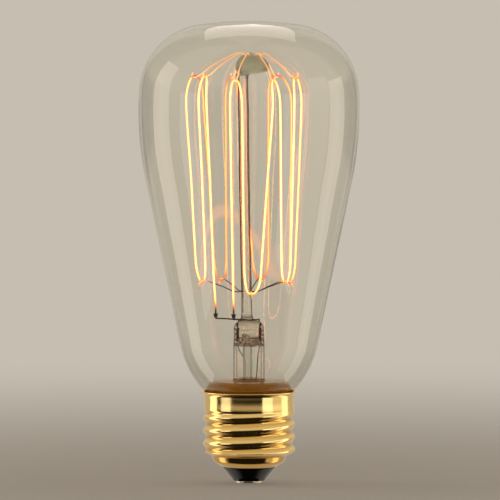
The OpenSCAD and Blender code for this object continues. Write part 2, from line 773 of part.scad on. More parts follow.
module base_cement() {
    outer_r = collar_bore_r - cement_gap;
    low_outer_r = root_bore_r - cement_gap;
    inner_r = neck_r + cement_gap;
    ledge_r = neck_r - glass_wall - 0.6;
    ledge_z = neck_end_z - cement_gap;
    notch_w = 3 * outer_lead_d;
    color([0.72, 0.5, 0.2])
        difference() {
            rotate_extrude($fn = curve_fn)
                polygon([
                    [ledge_r, neck_end_z - 3.6],
                    [low_outer_r, neck_end_z - 3.6],
                    [low_outer_r, thread_top_z - 0.4],
                    [outer_r, thread_top_z + 0.5],
                    [outer_r, neck_top_z + 0.7],
                    [inner_r, neck_top_z - 0.1],
                    [inner_r, ledge_z],
                    [ledge_r, ledge_z]
                ]);
            translate([-notch_w / 2, 0, neck_end_z - 4]) cube([notch_w, crest_r, cap_h]);
        }
}

module base_insulator() {
    hole_r = eyelet_d / 2 + cement_gap;
    rest_z = mouth_z - seal_gap;
    foot_r = mouth_r - shell_wall - cement_gap;
    knee_z = mix(mouth_z, bowl_top_z, 2 / bowl_row_count);
    knee_r = bowl_r(knee_z) - shell_wall - cement_gap;
    color([0.04, 0.04, 0.05])
        rotate_extrude($fn = curve_fn)
            polygon([
                [hole_r, insulator_tip_z],
                [insulator_tip_d / 2, insulator_tip_z],
                [mouth_r, rest_z],
                [foot_r, rest_z],
                [foot_r, mouth_z],
                [knee_r, knee_z],
                [knee_r, insulator_top_z],
                [hole_r, insulator_top_z]
            ]);
}

module centre_contact() {
    r = contact_d / 2;
    top_z = insulator_tip_z - seal_gap;
    eyelet_r = eyelet_d / 2;
    bore_r = eyelet_r - eyelet_wall;
    color([0.86, 0.74, 0.45])
        rotate_extrude($fn = curve_fn)
            polygon([
                [bore_r, solder_h],
                [0.75 * r, solder_h],
                [0.93 * r, solder_h + 0.12],
                [r, solder_h + 0.3],
                [r, top_z],
                [eyelet_r, top_z],
                [eyelet_r, top_z + eyelet_h],
                [bore_r, top_z + eyelet_h]
            ]);
}

module centre_solder() {
    r = solder_d / 2;
    top_z = solder_h - seal_gap;
    plug_r = eyelet_d / 2 - eyelet_wall - seal_gap;
    lead_end_z = insulator_tip_z - 0.2;
    color([0.78, 0.76, 0.7])
        difference() {
            rotate_extrude($fn = curve_fn)
                polygon([
                    [0, 0],
                    [0.62 * r, 0],
                    [0.86 * r, 0.28 * solder_h],
                    [r, top_z],
                    [plug_r, top_z],
                    [plug_r, lead_end_z + 0.4],
                    [0, lead_end_z + 0.4]
                ]);
            bar([0, 0, lead_end_z - seal_gap], [0, 0, lead_end_z + 1], outer_lead_r + seal_gap);
        }
}

// The solder at the back of the rim, round the end of the side lead.
module side_solder() {
    at = [0, collar_r + 0.6, cap_h + 0.45];
    lead_low = [0, collar_bore_r + 0.4, cap_h - 0.17];
    lead_end = [0, collar_bore_r + 0.85, cap_h + 0.35];
    color([0.78, 0.76, 0.7])
        difference() {
            translate(at) sphere(r = 0.85, $fn = curve_fn);
            translate([0, 0, cap_h - 5 + seal_gap]) cylinder(h = 5, r = crest_r + 2, $fn = curve_fn);
            rotate_extrude($fn = curve_fn)
                polygon(concat([[0, neck_end_z]], [[0, overall_h]], envelope_line(-cement_gap)));
            bar(lead_low, lead_end + seal_gap * unit(lead_end - lead_low), outer_lead_r + seal_gap);
        }
}

glass_envelope();
stem_flare();
stem_press();
exhaust_tube();
arbor_rod();
upper_button();
for (i = [0:upper_count - 1])
    upper_support(i);
for (i = [0:lower_count - 1])
    lower_support(i);
filament();
filament_clamp(clamp_left);  // filament_clamp_left
filament_clamp(clamp_right);  // filament_clamp_right
inner_lead_left();
inner_lead_right();
seal_wire(-1);  // seal_wire_left
seal_wire(1);  // seal_wire_right
outer_lead_side();
outer_lead_centre();
screw_shell();
base_cement();
base_insulator();
centre_contact();
centre_solder();
side_solder();
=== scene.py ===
"""Looks of a pear-shaped filament lamp with a squirrel-cage filament on a medium screw cap.

Sizes here are millimetres in the CAD frame unless a name says otherwise: the origin is the bottom
of the centre contact, +Z runs up the lamp, and the front is -Y. Angles round the axis are in
degrees, start at the front and grow towards +X. Points turn into metres when a mesh is made.
"""

import logging
import math
from collections.abc import Mapping, Sequence
from dataclasses import dataclass, field
from enum import Enum
from functools import cache
from typing import Any

import bpy
import numpy as np
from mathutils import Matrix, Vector


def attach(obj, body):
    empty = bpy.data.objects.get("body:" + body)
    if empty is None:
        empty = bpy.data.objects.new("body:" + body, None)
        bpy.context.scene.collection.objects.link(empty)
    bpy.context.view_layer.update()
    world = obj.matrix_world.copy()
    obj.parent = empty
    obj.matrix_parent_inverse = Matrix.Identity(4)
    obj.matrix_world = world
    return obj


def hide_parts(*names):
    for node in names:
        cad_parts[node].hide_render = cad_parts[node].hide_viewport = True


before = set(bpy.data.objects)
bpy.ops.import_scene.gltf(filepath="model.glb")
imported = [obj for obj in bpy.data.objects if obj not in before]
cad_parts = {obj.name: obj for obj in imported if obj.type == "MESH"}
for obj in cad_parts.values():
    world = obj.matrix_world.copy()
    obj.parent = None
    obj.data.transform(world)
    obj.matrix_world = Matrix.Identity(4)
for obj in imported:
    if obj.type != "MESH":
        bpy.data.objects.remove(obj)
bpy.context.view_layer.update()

LOG = logging.getLogger("lamp")
MM = 0.001

CAP_H = 26.4
LAMP_H = 131.8
PRESS_TOP = 46.6
PRESS_H = 7.2
PRESS_BASE = PRESS_TOP - PRESS_H
STEM_R = 4.45
ARBOR_R = 1.525
FILAMENT_R = 0.25
SEAL_X = 2.95
# Gap between pieces that touch in the real lamp.
GAP = 0.02
# Degrees from the tip at which the domed end of a wire has its rings.
DOME_ANGLES = (20, 45, 70, 90)


# ---------------------------------------------------------------- numbers and curves


def linear(hex_colour: str) -> tuple[float, float, float, float]:
    """Turns an sRGB hex colour into linear light.

    Each channel c is c/12.92 below 0.04045, and ((c + 0.055)/1.055)^2.4 above it.

    Args:
        hex_colour: Six hex digits, with or without a leading #.

    Returns:
        Linear red, green and blue, and an alpha of 1.
    """
    digits = hex_colour.lstrip("#")
    c = np.array([int(digits[i : i + 2], 16) for i in (0, 2, 4)]) / 255
    low = c <= 0.04045
    light = np.where(low, c / 12.92, ((c + 0.055) / 1.055) ** 2.4)
    return (*map(float, light), 1.0)


def mix(a: Any, b: Any, t: Any) -> Any:
    """The value a share t of the way from a to b: a + (b - a) t."""
    return a + (b - a) * t


def ease(t: np.ndarray) -> np.ndarray:
    """The smooth step t^2 (3 - 2 t), with t held between 0 and 1."""
    u = np.clip(t, 0, 1)
    return u * u * (3 - 2 * u)


def unit(v: np.ndarray) -> np.ndarray:
    """Vectors divided by their lengths, along the last axis."""
    return v / np.linalg.norm(v, axis=-1, keepdims=True)


def circle(count: int) -> np.ndarray:
    """Even angles round a full turn, in radians from 0."""
    return 2 * np.pi * np.arange(count) / count


def around(r: Any, a: Any, z: Any, centre: Sequence[Any] = (0, 0)) -> np.ndarray:
    """Points (cx + r sin a, cy - r cos a, z) round an upright axis, with a in radians."""
    x, y = centre[0] + r * np.sin(a), centre[1] - r * np.cos(a)
    return np.stack(np.broadcast_arrays(x, y, z), axis=-1)


def arc(centre: Sequence[float], radius: float, start: float, end: float, count: int) -> np.ndarray:
    """Points on an arc: centre + radius (cos a, sin a), with a from start to end in degrees.

    Args:
        centre: Centre in the plane of the arc.
        radius: Radius of the arc.
        start: First angle.
        end: Last angle.
        count: Number of points.

    Returns:
        An array of count rows and two columns.
    """
    a = np.radians(np.linspace(start, end, count))
    return np.asarray(centre) + radius * np.stack([np.cos(a), np.sin(a)], axis=1)


def direction(v: np.ndarray) -> float:
    """The angle of a plane vector in degrees."""
    return math.degrees(math.atan2(v[1], v[0]))


def smooth_line(
    knots: Any, steps: int, start: Any | None = None, end: Any | None = None
) -> np.ndarray:
    """A cubic Hermite line through knots.

    Between knots p and q at a distance d it is p h0 + m d h1 + q h2 + n d h3, with the usual four
    cubics of t. The slope at an inner knot is the mean of the two chords' directions, each
    weighted by the other's length, over the sum of the lengths.

    Args:
        knots: The points that the line goes through.
        steps: Points for each span.
        start: Direction at the first knot, or None to leave it straight.
        end: Direction at the last knot, or None to leave it straight.

    Returns:
        The line's points, one row each.
    """
    p = np.asarray(knots, float)
    chord = np.diff(p, axis=0)
    length = np.linalg.norm(chord, axis=1, keepdims=True)
    a, b, la, lb = chord[:-1], chord[1:], length[:-1], length[1:]
    inner = (a * lb / la + b * la / lb) / (la + lb)
    first = unit(chord[:1]) if start is None else unit(np.asarray([start], float))
    last = unit(chord[-1:]) if end is None else unit(np.asarray([end], float))
    slope = np.concatenate([first, inner, last])[:, None, :]
    t = (np.arange(1, steps + 1) / steps)[None, :, None]
    d = length[:, None, :]
    spans = (
        p[:-1, None] * (2 * t**3 - 3 * t**2 + 1)
        + slope[:-1] * d * (t**3 - 2 * t**2 + t)
        + p[1:, None] * (3 * t**2 - 2 * t**3)
        + slope[1:] * d * (t**3 - t**2)
    )
    return np.concatenate([p[:1], spans.reshape(-1, p.shape[1])])


def run_along(path: np.ndarray) -> np.ndarray:
    """The distance along a path at each of its points: the running sum of its chords."""
    return np.concatenate([[0.0], np.cumsum(np.linalg.norm(np.diff(path, axis=0), axis=1))])


def even_steps(path: np.ndarray, step: float) -> np.ndarray:
    """The same path with its points spaced evenly, read off at equal distances along it.

    Args:
        path: Points, one row each.
        step: Wanted distance between neighbours.

    Returns:
        The new points, with the first and last as they were.
    """
    run = run_along(path)
    stations = np.linspace(0, run[-1], max(3, round(run[-1] / step) + 1))
    return np.stack([np.interp(stations, run, column) for column in path.T], axis=1)


def relaxed(path: np.ndarray, held: np.ndarray, reach: float, spread: float) -> np.ndarray:
    """A path with its small kinks eased, except near some points.

    Each point moves to the mean of its neighbours, weighted by exp(-(k / spread)^2) for the k-th
    neighbour, by the share 1 - exp(-(d / reach)^2) with d the distance to the closest held point.

    Args:
        path: Evenly spaced points, one row each.
        held: Points near which the path stays as it is.
        reach: Distance from a held point at which most of the easing is done.
        spread: Number of points over which the mean is taken.

    Returns:
        The eased path, with its two ends as they were.
    """
    k = np.arange(-3 * spread, 3 * spread + 1)
    weights = np.exp(-((k / spread) ** 2))
    padded = np.pad(path, ((3 * spread, 3 * spread), (0, 0)), mode="edge")
    means = np.stack([np.convolve(c, weights / weights.sum(), "valid") for c in padded.T], axis=1)
    return mix(path, means, 1 - nearness(path[:, None], held, reach))


def beside(line: np.ndarray, distance: float) -> np.ndarray:
    """The plane line at a distance to the right of another: p + distance (ty, -tx)."""
    t = unit(np.gradient(line, axis=0))
    return line + distance * np.stack([t[:, 1], -t[:, 0]], axis=1)


# ---------------------------------------------------------------- surfaces


def linked(name: str, data: Any) -> bpy.types.Object:
    """Makes an object and links it to the scene.

    Args:
        name: Its name.
        data: The mesh, light or camera that it holds.

    Returns:
        The object.
    """
    thing = bpy.data.objects.new(name, data)
    bpy.context.scene.collection.objects.link(thing)
    return thing


def surface(
    name: str,
    grid: np.ndarray,
    wrap_rows: bool = False,
    poles: bool = False,
    values: Mapping[str, np.ndarray] | None = None,
    sharp: float = 50,
) -> bpy.types.Object:
    """Makes a mesh object of a grid of points whose columns go all the way round.

    Neighbouring points are joined by quads. The mesh is turned the right way out by the sign of
    its volume, a sum of p0 . (p1 x p2) / 6 over its triangles.

    Args:
        name: Name of the piece.
        grid: Points with axes row, column and coordinate.
        wrap_rows: True if the last row joins the first.
        poles: True if the first and last rows close on a point in their middle.
        values: Numbers to keep at the points, by attribute name, each rows by columns.
        sharp: Faces that meet at more than this angle keep a sharp edge.

    Returns:
        The new object, linked to the scene.
    """
    rows, columns = grid.shape[:2]
    index = np.arange(rows * columns).reshape(rows, columns)
    low, high = (index, np.roll(index, -1, 0)) if wrap_rows else (index[:-1], index[1:])
    quads = np.stack([low, np.roll(low, -1, 1), np.roll(high, -1, 1), high], -1).reshape(-1, 4)
    points = grid.reshape(-1, 3)
    fans = np.zeros((0, 3), int)
    if poles:
        points = np.concatenate([points, grid[[0, -1]].mean(axis=1)])
        start, end = np.full((2, columns), [[rows * columns], [rows * columns + 1]])
        first, last = index[0], index[-1]
        opening = np.stack([start, np.roll(first, -1), first], axis=1)
        closing = np.stack([end, last, np.roll(last, -1)], axis=1)
        fans = np.concatenate([opening, closing])
    corners = np.concatenate([quads[:, [0, 1, 2]], quads[:, [0, 2, 3]], fans])
    p0, p1, p2 = points[corners[:, 0]], points[corners[:, 1]], points[corners[:, 2]]
    if np.einsum("ij,ij->i", p0, np.cross(p1, p2)).sum() < 0:
        quads, fans = quads[:, ::-1], fans[:, ::-1]
    mesh = bpy.data.meshes.new(name)
    mesh.from_pydata((points * MM).tolist(), [], quads.tolist() + fans.tolist())
    for attribute, kept in (values or {}).items():
        flat = np.asarray(kept, np.float32)
        ends = [flat[[0]].mean(), flat[[-1]].mean()] if poles else []
        flat = np.concatenate([flat.ravel(), ends]).astype(np.float32)
        mesh.attributes.new(attribute, "FLOAT", "POINT").data.foreach_set("value", flat)
    mesh.shade_smooth()
    mesh.set_sharp_from_angle(angle=math.radians(sharp))
    return linked(name, mesh)


def lathe(profile: np.ndarray, columns: int, centre: Sequence[float] = (0, 0)) -> np.ndarray:
    """A profile turned round an upright axis: (cx + r sin a, cy - r cos a, z).

    Args:
        profile: Radius and height of each row.
        columns: Number of columns round the axis.
        centre: Where the axis stands.

    Returns:
        A grid of points with axes row, column and coordinate.
    """
    return around(profile[:, :1], circle(columns), profile[:, 1:], centre)


def ends_repeated(rows: np.ndarray, count: int) -> np.ndarray:
    """An array whose first and last row each stand so many times in their place."""
    first, last = np.repeat(rows[:1], count, 0), np.repeat(rows[-1:], count, 0)
    return np.concatenate([first, rows[1:-1], last])


def wire(path: np.ndarray, radius: float, sides: int, hint: np.ndarray, step: float) -> np.ndarray:
    """A round wire with domed ends, carried along a path.

    Ring point = path + r (cos a n + sin a b), where t is the path's direction, n is the hint made
    square to t, and b = t x n. At the ends r follows a quarter circle: r sin f at a distance
    r (1 - cos f) from the tip.

    Args:
        path: Centre line of the wire.
        radius: Radius of the wire.
        sides: Points in each ring.
        hint: A direction, or one for each point, that is never along the path.
        step: Distance between rings, at least one and a half radii.

    Returns:
        A grid of points with axes ring, side and coordinate. Its ends close on poles.
    """
    even = even_steps(path, max(step, 1.5 * radius))
    if hint.ndim > 1:
        share = np.linspace(0, 1, len(hint))
        wanted = np.linspace(0, 1, len(even))
        hint = np.stack([np.interp(wanted, share, column) for column in hint.T], axis=1)
    else:
        hint = np.broadcast_to(hint, even.shape)
    t = unit(np.gradient(even, axis=0))
    f = np.radians(DOME_ANGLES)[:, None]
    head = even[0] + t[0] * radius * (1 - np.cos(f))
    tail = (even[-1] - t[-1] * radius * (1 - np.cos(f)))[::-1]
    centres = np.concatenate([head, even[1:-1], tail])
    dome = radius * np.sin(f[:, 0])
    r = np.concatenate([dome, np.full(len(even) - 2, radius), dome[::-1]])
    t, hint = ends_repeated(t, len(f)), ends_repeated(hint, len(f))
    n = unit(hint - np.einsum("ij,ij->i", hint, t)[:, None] * t)
    b = np.cross(t, n)
    a = circle(sides)
    ring = np.cos(a)[None, :, None] * n[:, None] + np.sin(a)[None, :, None] * b[:, None]
    return centres[:, None] + r[:, None, None] * ring


def nearness(grid: np.ndarray, points: np.ndarray, reach: float) -> np.ndarray:
    """How near a grid's points are to the closest of some points: exp(-(d / reach)^2).

    Args:
        grid: Points with axes row, column and coordinate.
        points: The points to be near to, one row each.
        reach: Distance at which the value has dropped to 1/e.

    Returns:
        One number for each grid point, from 0 to 1.
    """
    d = np.linalg.norm(grid[:, :, None] - points[None, None], axis=-1).min(axis=-1)
    return np.exp(-((d / reach) ** 2))


# ---------------------------------------------------------------- finishes

Tree = bpy.types.NodeTree
Socket = bpy.types.NodeSocket
# Numbers of the Mix node's sockets, for colours and for plain numbers.
COLOUR_A, COLOUR_B, COLOUR_OUT = 6, 7, 2
NUMBER_A, NUMBER_B = 2, 3


def per_mm(length: float) -> float:
    """The texture scale whose pattern repeats about once in a length given in millimetres."""
    return 1 / (length * MM)


def add_node(
    tree: Tree, kind: str, inputs: Mapping[Any, Any] | None = None, **settings: Any
) -> bpy.types.Node:
    """Adds one shader node.

    Args:
        tree: The tree that it goes into.
        kind: Its Blender type without the ShaderNode in front.
        inputs: Its sockets by name or number, each with a value or the output that feeds it.
        **settings: Its other properties.

    Returns:
        The new node.
    """
    node = tree.nodes.new("ShaderNode" + kind)
    for key, value in settings.items():
        setattr(node, key, value)
    for key, value in (inputs or {}).items():
        if isinstance(value, Socket):
            tree.links.new(value, node.inputs[key])
        else:
            node.inputs[key].default_value = value
    return node


def blank(name: str) -> bpy.types.Material:
    """Makes a material with an empty node tree.

    Args:
        name: Its name.

    Returns:
        The material.
    """
    material = bpy.data.materials.new(name)
    material.use_nodes = True
    material.node_tree.nodes.clear()
    return material


@dataclass(frozen=True)
class Finish:
    """What every finish has: its name, and what several kinds of finish are made of."""

    name: str

    def make(self) -> bpy.types.Material:
        """Builds the material.

        Returns:
            The material.
        """
        material = blank(self.name)
        tree = material.node_tree
        at = add_node(tree, "TexCoord").outputs["Object"]
        add_node(tree, "OutputMaterial", self.shade(tree, at))
        return material

    def shade(self, tree: Tree, at: Socket) -> dict[str, Socket]:
        """Adds the finish's own nodes.

        Args:
            tree: The material's tree.
            at: The output of its object coordinates.

        Returns:
            What feeds each socket of the material's output.
        """
        raise NotImplementedError

    def turned(self, tree: Tree, straight: Any, slanted: Any, start: float, end: float) -> Socket:
        """A colour that changes where a surface turns away from the eye; on glass it paints shade
        at the edges.

        The share is how far 1 - cos(angle of view) has gone from start to end.

        Args:
            tree: The tree that it goes into.
            straight: The colour seen straight on, linear or an output.
            slanted: The colour seen at a slant, linear or an output.
            start: Value at which the change starts.
            end: Value at which it is complete.

        Returns:
            The colour's output.
        """
        facing = add_node(tree, "LayerWeight", {"Blend": 0.5}).outputs["Facing"]
        span = {"Value": facing, "From Min": start, "From Max": end}
        share = add_node(tree, "MapRange", span).outputs[0]
        sides = {0: share, COLOUR_A: straight, COLOUR_B: slanted}
        return add_node(tree, "Mix", sides, data_type="RGBA").outputs[COLOUR_OUT]

    def patchy(
        self, tree: Tree, at: Socket, size: float, light: str, dark: str, detail: float = 4
    ) -> tuple[Socket, Socket]:
        """Two shades in soft patches, mixed by noise.

        Args:
            tree: The tree that it goes into.
            at: The output of its object coordinates.
            size: Size of a patch in millimetres.
            light: The first shade, as sRGB hex.
            dark: The second shade, as sRGB hex.
            detail: Detail of the noise.

        Returns:
            The noise, and the colour.
        """
        patches = {"Vector": at, "Scale": per_mm(size), "Detail": detail}
        share = add_node(tree, "TexNoise", patches).outputs[0]
        sides = {0: share, COLOUR_A: linear(light), COLOUR_B: linear(dark)}
        return share, add_node(tree, "Mix", sides, data_type="RGBA").outputs[COLOUR_OUT]

    def grained(
        self, tree: Tree, at: Socket, size: float, detail: float, strength: float, depth: float
    ) -> Socket:
        """A normal that is bent by noise as by a grain of hollows.

        Args:
            tree: The tree that it goes into.
            at: The output of its coordinates.
            size: Size of a grain in millimetres.
            detail: Detail of the noise.
            strength: Share of the bending that shows.
            depth: Depth of the hollows in millimetres.

        Returns:
            The normal's output.
        """
        grain = {"Vector": at, "Scale": per_mm(size), "Detail": detail}
        height = add_node(tree, "TexNoise", grain).outputs[0]
        bump = {"Height": height, "Strength": strength, "Distance": depth * MM}
        return add_node(tree, "Bump", bump).outputs[0]


@cache
def shared(finish: Finish) -> bpy.types.Material:
    """The one material of a finish that several pieces have."""
    return finish.make()


@dataclass(frozen=True)
class BlownGlass(Finish):
    """Soda-lime glass blown into a mould and fire-polished.

    It gives the eye a clear wall with a faint olive edge where the line of sight runs along it;
    that edge is painted shade.
    """

    tint: str = "#FDFDFA"
    body: str = "#D8C266"
    body_density: float = 85
    roughness: float = 0.0
    ior: float = 1.52
    wave: float = 14
    wave_depth: float = 0.03
    # Painted shade: the colour at a slant, from edge_start to edge_end of the facing, standing in
    # for the dark edges of clear glass.
    edge: str = "#6A6650"
    edge_start: float = 0.8
    edge_end: float = 1.0
    gloss: float = 0.75

    def shade(self, tree: Tree, at: Socket) -> dict[str, Socket]:
        """A clear wavy surface with painted shade at a slant, round a body that takes some light.

        Args:
            tree: The material's tree.
            at: The output of its object coordinates.

        Returns:
            The outputs that feed the material's output.
        """
        sides = linear(self.tint), linear(self.edge)
        glass = {
            "Base Color": self.turned(tree, *sides, self.edge_start, self.edge_end),
            "Roughness": self.roughness,
            "IOR": self.ior,
            "Specular IOR Level": self.gloss,
            "Transmission Weight": 1,
            "Normal": self.grained(tree, at, self.wave, 1, 0.35, self.wave_depth),
        }
        body = {"Color": linear(self.body), "Density": self.body_density}
        return {
            "Surface": add_node(tree, "BsdfPrincipled", glass).outputs[0],
            "Volume": add_node(tree, "VolumeAbsorption", body).outputs[0],
        }


@dataclass(frozen=True)
class StemGlass(Finish):
    """Drawn lead-glass tubing, worked in a flame.

    The tube is clear. Its flared foot, where it was fused to the bulb, is amber and cloudy, so the
    transmission falls and the colour turns to ochre below a height.
    """

    clear: str = "#FDFDFA"
    # Painted shade: the colour at a slant, from edge_start to edge_end of the facing, standing in
    # for the dark edges of clear glass.
    edge: str = "#2E2010"
    edge_start: float = 0.5
    edge_end: float = 0.72
    amber: str = "#E2A414"
    amber_dark: str = "#B47C0C"
    amber_patch: float = 7
    amber_top: float = 29.5
    amber_fade: float = 0.25
    amber_clearness: float = 0.55
    roughness: float = 0.03
    ior: float = 1.54
    gloss: float = 0.05

    def shade(self, tree: Tree, at: Socket) -> dict[str, Socket]:
        """Clear glass with painted shade at a slant, that turns amber and cloudy towards its foot.

        Args:
            tree: The material's tree.
            at: The output of its object coordinates.

        Returns:
            The outputs that feed the material's output.
        """
        fade = {
            "Value": add_node(tree, "SeparateXYZ", {0: at}).outputs["Z"],
            "From Min": (self.amber_top + self.amber_fade) * MM,
            "From Max": self.amber_top * MM,
        }
        stain = add_node(tree, "MapRange", fade).outputs[0]
        sides = linear(self.clear), linear(self.edge)
        colours = {
            0: stain,
            COLOUR_A: self.turned(tree, *sides, self.edge_start, self.edge_end),
            COLOUR_B: self.patchy(tree, at, self.amber_patch, self.amber, self.amber_dark, 3)[1],
        }
        clearness = {"Value": stain, "To Min": 1.0, "To Max": self.amber_clearness}
        glass = {
            "Base Color": add_node(tree, "Mix", colours, data_type="RGBA").outputs[COLOUR_OUT],
            "Roughness": self.roughness,
            "IOR": self.ior,
            "Specular IOR Level": self.gloss,
            "Transmission Weight": add_node(tree, "MapRange", clearness).outputs[0],
        }
        return {"Surface": add_node(tree, "BsdfPrincipled", glass).outputs[0]}


@dataclass(frozen=True)
class CloudyGlass(Finish):
    """Glass melted on to wire ends in a flame, as the button is.

    Fine bubbles make it a smoky grey-green that lets some light through.
    """

    light: str = "#E0E8D0"
    dark: str = "#B8C4A6"
    clearness: float = 0.78
    roughness: float = 0.25
    ior: float = 1.45
    patch: float = 2.4
    seed: float = 0.7
    seed_depth: float = 0.15

    def shade(self, tree: Tree, at: Socket) -> dict[str, Socket]:
        """Smoky glass in two shades with a seedy skin.

        Args:
            tree: The material's tree.
            at: The output of its object coordinates.

        Returns:
            The outputs that feed the material's output.
        """
        glass = {
            "Base Color": self.patchy(tree, at, self.patch, self.light, self.dark)[1],
            "Roughness": self.roughness,
            "IOR": self.ior,
            "Transmission Weight": self.clearness,
            "Normal": self.grained(tree, at, self.seed, 2, 0.3, self.seed_depth),
        }
        return {"Surface": add_node(tree, "BsdfPrincipled", glass).outputs[0]}


@dataclass(frozen=True)
class GlowingCoil(Finish):
    """Carbonised wire wound into a fine coil, at working heat.

    The middle of a leg is pale yellow and its limbs are orange-red. It is redder where a hook or a
    clamp draws its heat off, and dimmer and redder towards the back, where that is painted shade.
    The coil's pitch of 0.12 mm is too fine to show and is drawn at 0.5 mm.
    """

    hot_core: str = "#FFB85C"
    hot_limb: str = "#FF4A08"
    cool_core: str = "#E03A06"
    cool_limb: str = "#7A1402"
    carbon: str = "#6A5E52"
    roughness: float = 0.7
    strength: float = 8
    dimmest: float = 0.85
    pitch: float = 0.5
    core_end: float = 0.16
    limb_start: float = 0.42

    def shade(self, tree: Tree, at: Socket) -> dict[str, Socket]:
        """Matt carbon that glows by its heat, a little less between the coil's turns.

        Args:
            tree: The material's tree.
            at: The output of its object coordinates.

        Returns:
            The outputs that feed the material's output.
        """
        heat = add_node(tree, "Attribute", attribute_name="heat_and_painted_light").outputs["Fac"]
        run = add_node(tree, "Attribute", attribute_name="run").outputs["Fac"]
        tones = []
        for cool, hot in ((self.cool_core, self.hot_core), (self.cool_limb, self.hot_limb)):
            sides = {0: heat, COLOUR_A: linear(cool), COLOUR_B: linear(hot)}
            tones.append(add_node(tree, "Mix", sides, data_type="RGBA").outputs[COLOUR_OUT])
        around_turn = {0: run, 1: 2 * math.pi / self.pitch}
        angle = add_node(tree, "Math", around_turn, operation="MULTIPLY").outputs[0]
        swing = {
            "Value": add_node(tree, "Math", {0: angle}, operation="SINE").outputs[0],
            "From Min": -1,
            "From Max": 1,
            "To Min": self.strength * self.dimmest,
            "To Max": self.strength,
        }
        power = {0: add_node(tree, "MapRange", swing).outputs[0], 1: heat}
        coil = {
            "Base Color": linear(self.carbon),
            "Metallic": 0.0,
            "Roughness": self.roughness,
            "Emission Color": self.turned(tree, *tones, self.core_end, self.limb_start),
            "Emission Strength": add_node(tree, "Math", power, operation="MULTIPLY").outputs[0],
        }
        return {"Surface": add_node(tree, "BsdfPrincipled", coil).outputs[0]}


@dataclass(frozen=True)
class DrawnWire(Finish):
    """Drawn metal wire with fine lengthwise die marks and a patchy oxide skin.

    Its glow comes from a value kept on the piece, which is 0 where the wire doesn't glow. On the
    hooks the glow is painted light, the filament's warm light on them; only their tips, which hold
    the filament, are also warmed by it.
    """

    metal: str
    oxide: str
    metallic: float
    roughness: float
    patch: float
    # Painted light: the colour and strength of a glow that stands in for light falling on the wire.
    glow: str = "#FF7A28"
    painted_glow_strength: float = 0.0
    grain: float = 0.12
    grain_depth: float = 0.02

    def shade(self, tree: Tree, at: Socket) -> dict[str, Socket]:
        """Metal with patches of oxide, duller where the oxide is.

        Args:
            tree: The material's tree.
            at: The output of its object coordinates.

        Returns:
            The outputs that feed the material's output.
        """
        skin, colour = self.patchy(tree, at, self.patch, self.metal, self.oxide)
        dull = {"Value": skin, "To Min": self.roughness - 0.1, "To Max": self.roughness + 0.12}
        metal = {
            "Metallic": self.metallic,
            "Base Color": colour,
            "Roughness": add_node(tree, "MapRange", dull).outputs[0],
            "Normal": self.grained(tree, at, self.grain, 2, 0.25, self.grain_depth),
        }
        if self.painted_glow_strength:
            heat = add_node(tree, "Attribute", attribute_name="heat_and_painted_light").outputs["Fac"]
            power = add_node(tree, "Math", {0: heat, 1: self.painted_glow_strength}, operation="MULTIPLY")
            metal["Emission Color"] = linear(self.glow)
            metal["Emission Strength"] = power.outputs[0]
        return {"Surface": add_node(tree, "BsdfPrincipled", metal).outputs[0]}


@dataclass(frozen=True)
class RolledBrass(Finish):
    """Brass sheet drawn into a cup, rolled into a thread, dipped bright and lacquered.

    It gives the eye a deep yellow mirror with faint rings from the rolling, and painted shade
    that darkens the roots of the thread.
    """

    metal: str = "#F0CD84"
    # Painted shade: the colour that the roots of the thread take, and the share of it at the
    # deepest root.
    deep: str = "#C6943C"
    root_shade_share: float = 0.7
    roughness: float = 0.15
    smudge: float = 5
    ring: float = 6
    ring_flatness: float = 26
    ring_depth: float = 0.03

    def shade(self, tree: Tree, at: Socket) -> dict[str, Socket]:
        """Bright metal with smudges and rings, with painted shade by the thread's depth.

        Args:
            tree: The material's tree.
            at: The output of its object coordinates.

        Returns:
            The outputs that feed the material's output.
        """
        depth = add_node(tree, "Attribute", attribute_name="depth").outputs["Fac"]
        share = add_node(tree, "Math", {0: depth, 1: self.root_shade_share}, operation="MULTIPLY").outputs[0]
        sides = {0: share, COLOUR_A: linear(self.metal), COLOUR_B: linear(self.deep)}
        smudges = {"Vector": at, "Scale": per_mm(self.smudge), "Detail": 3}
        dull = {
            "Value": add_node(tree, "TexNoise", smudges).outputs[0],
            "From Min": 0.3,
            "From Max": 0.75,
            "To Min": self.roughness - 0.04,
            "To Max": self.roughness + 0.08,
        }
        flat = add_node(tree, "Mapping", {0: at, "Scale": (1, 1, self.ring_flatness)}).outputs[0]
        brass = {
            "Metallic": 1,
            "Base Color": add_node(tree, "Mix", sides, data_type="RGBA").outputs[COLOUR_OUT],
            "Roughness": add_node(tree, "MapRange", dull).outputs[0],
            "Normal": self.grained(tree, flat, self.ring, 3, 0.12, self.ring_depth),
        }
        return {"Surface": add_node(tree, "BsdfPrincipled", brass).outputs[0]}


@dataclass(frozen=True)
class PlainSurface(Finish):
    """A surface of two shades with grain, for the parts that were poured, pressed or soldered."""

    light: str
    dark: str
    roughness: float
    metallic: float
    patch: float
    grain: float
    grain_depth: float

    def shade(self, tree: Tree, at: Socket) -> dict[str, Socket]:
        """Patches of two shades, duller where darker, with a grainy skin.

        Args:
            tree: The material's tree.
            at: The output of its object coordinates.

        Returns:
            The outputs that feed the material's output.
        """
        patches, colour = self.patchy(tree, at, self.patch, self.light, self.dark)
        low, high = self.roughness * 0.75, min(1, self.roughness * 1.3)
        dull = {"Value": patches, "To Min": low, "To Max": high}
        skin = {
            "Metallic": self.metallic,
            "Base Color": colour,
            "Roughness": add_node(tree, "MapRange", dull).outputs[0],
            "Normal": self.grained(tree, at, self.grain, 3, 0.4, self.grain_depth),
        }
        return {"Surface": add_node(tree, "BsdfPrincipled", skin).outputs[0]}


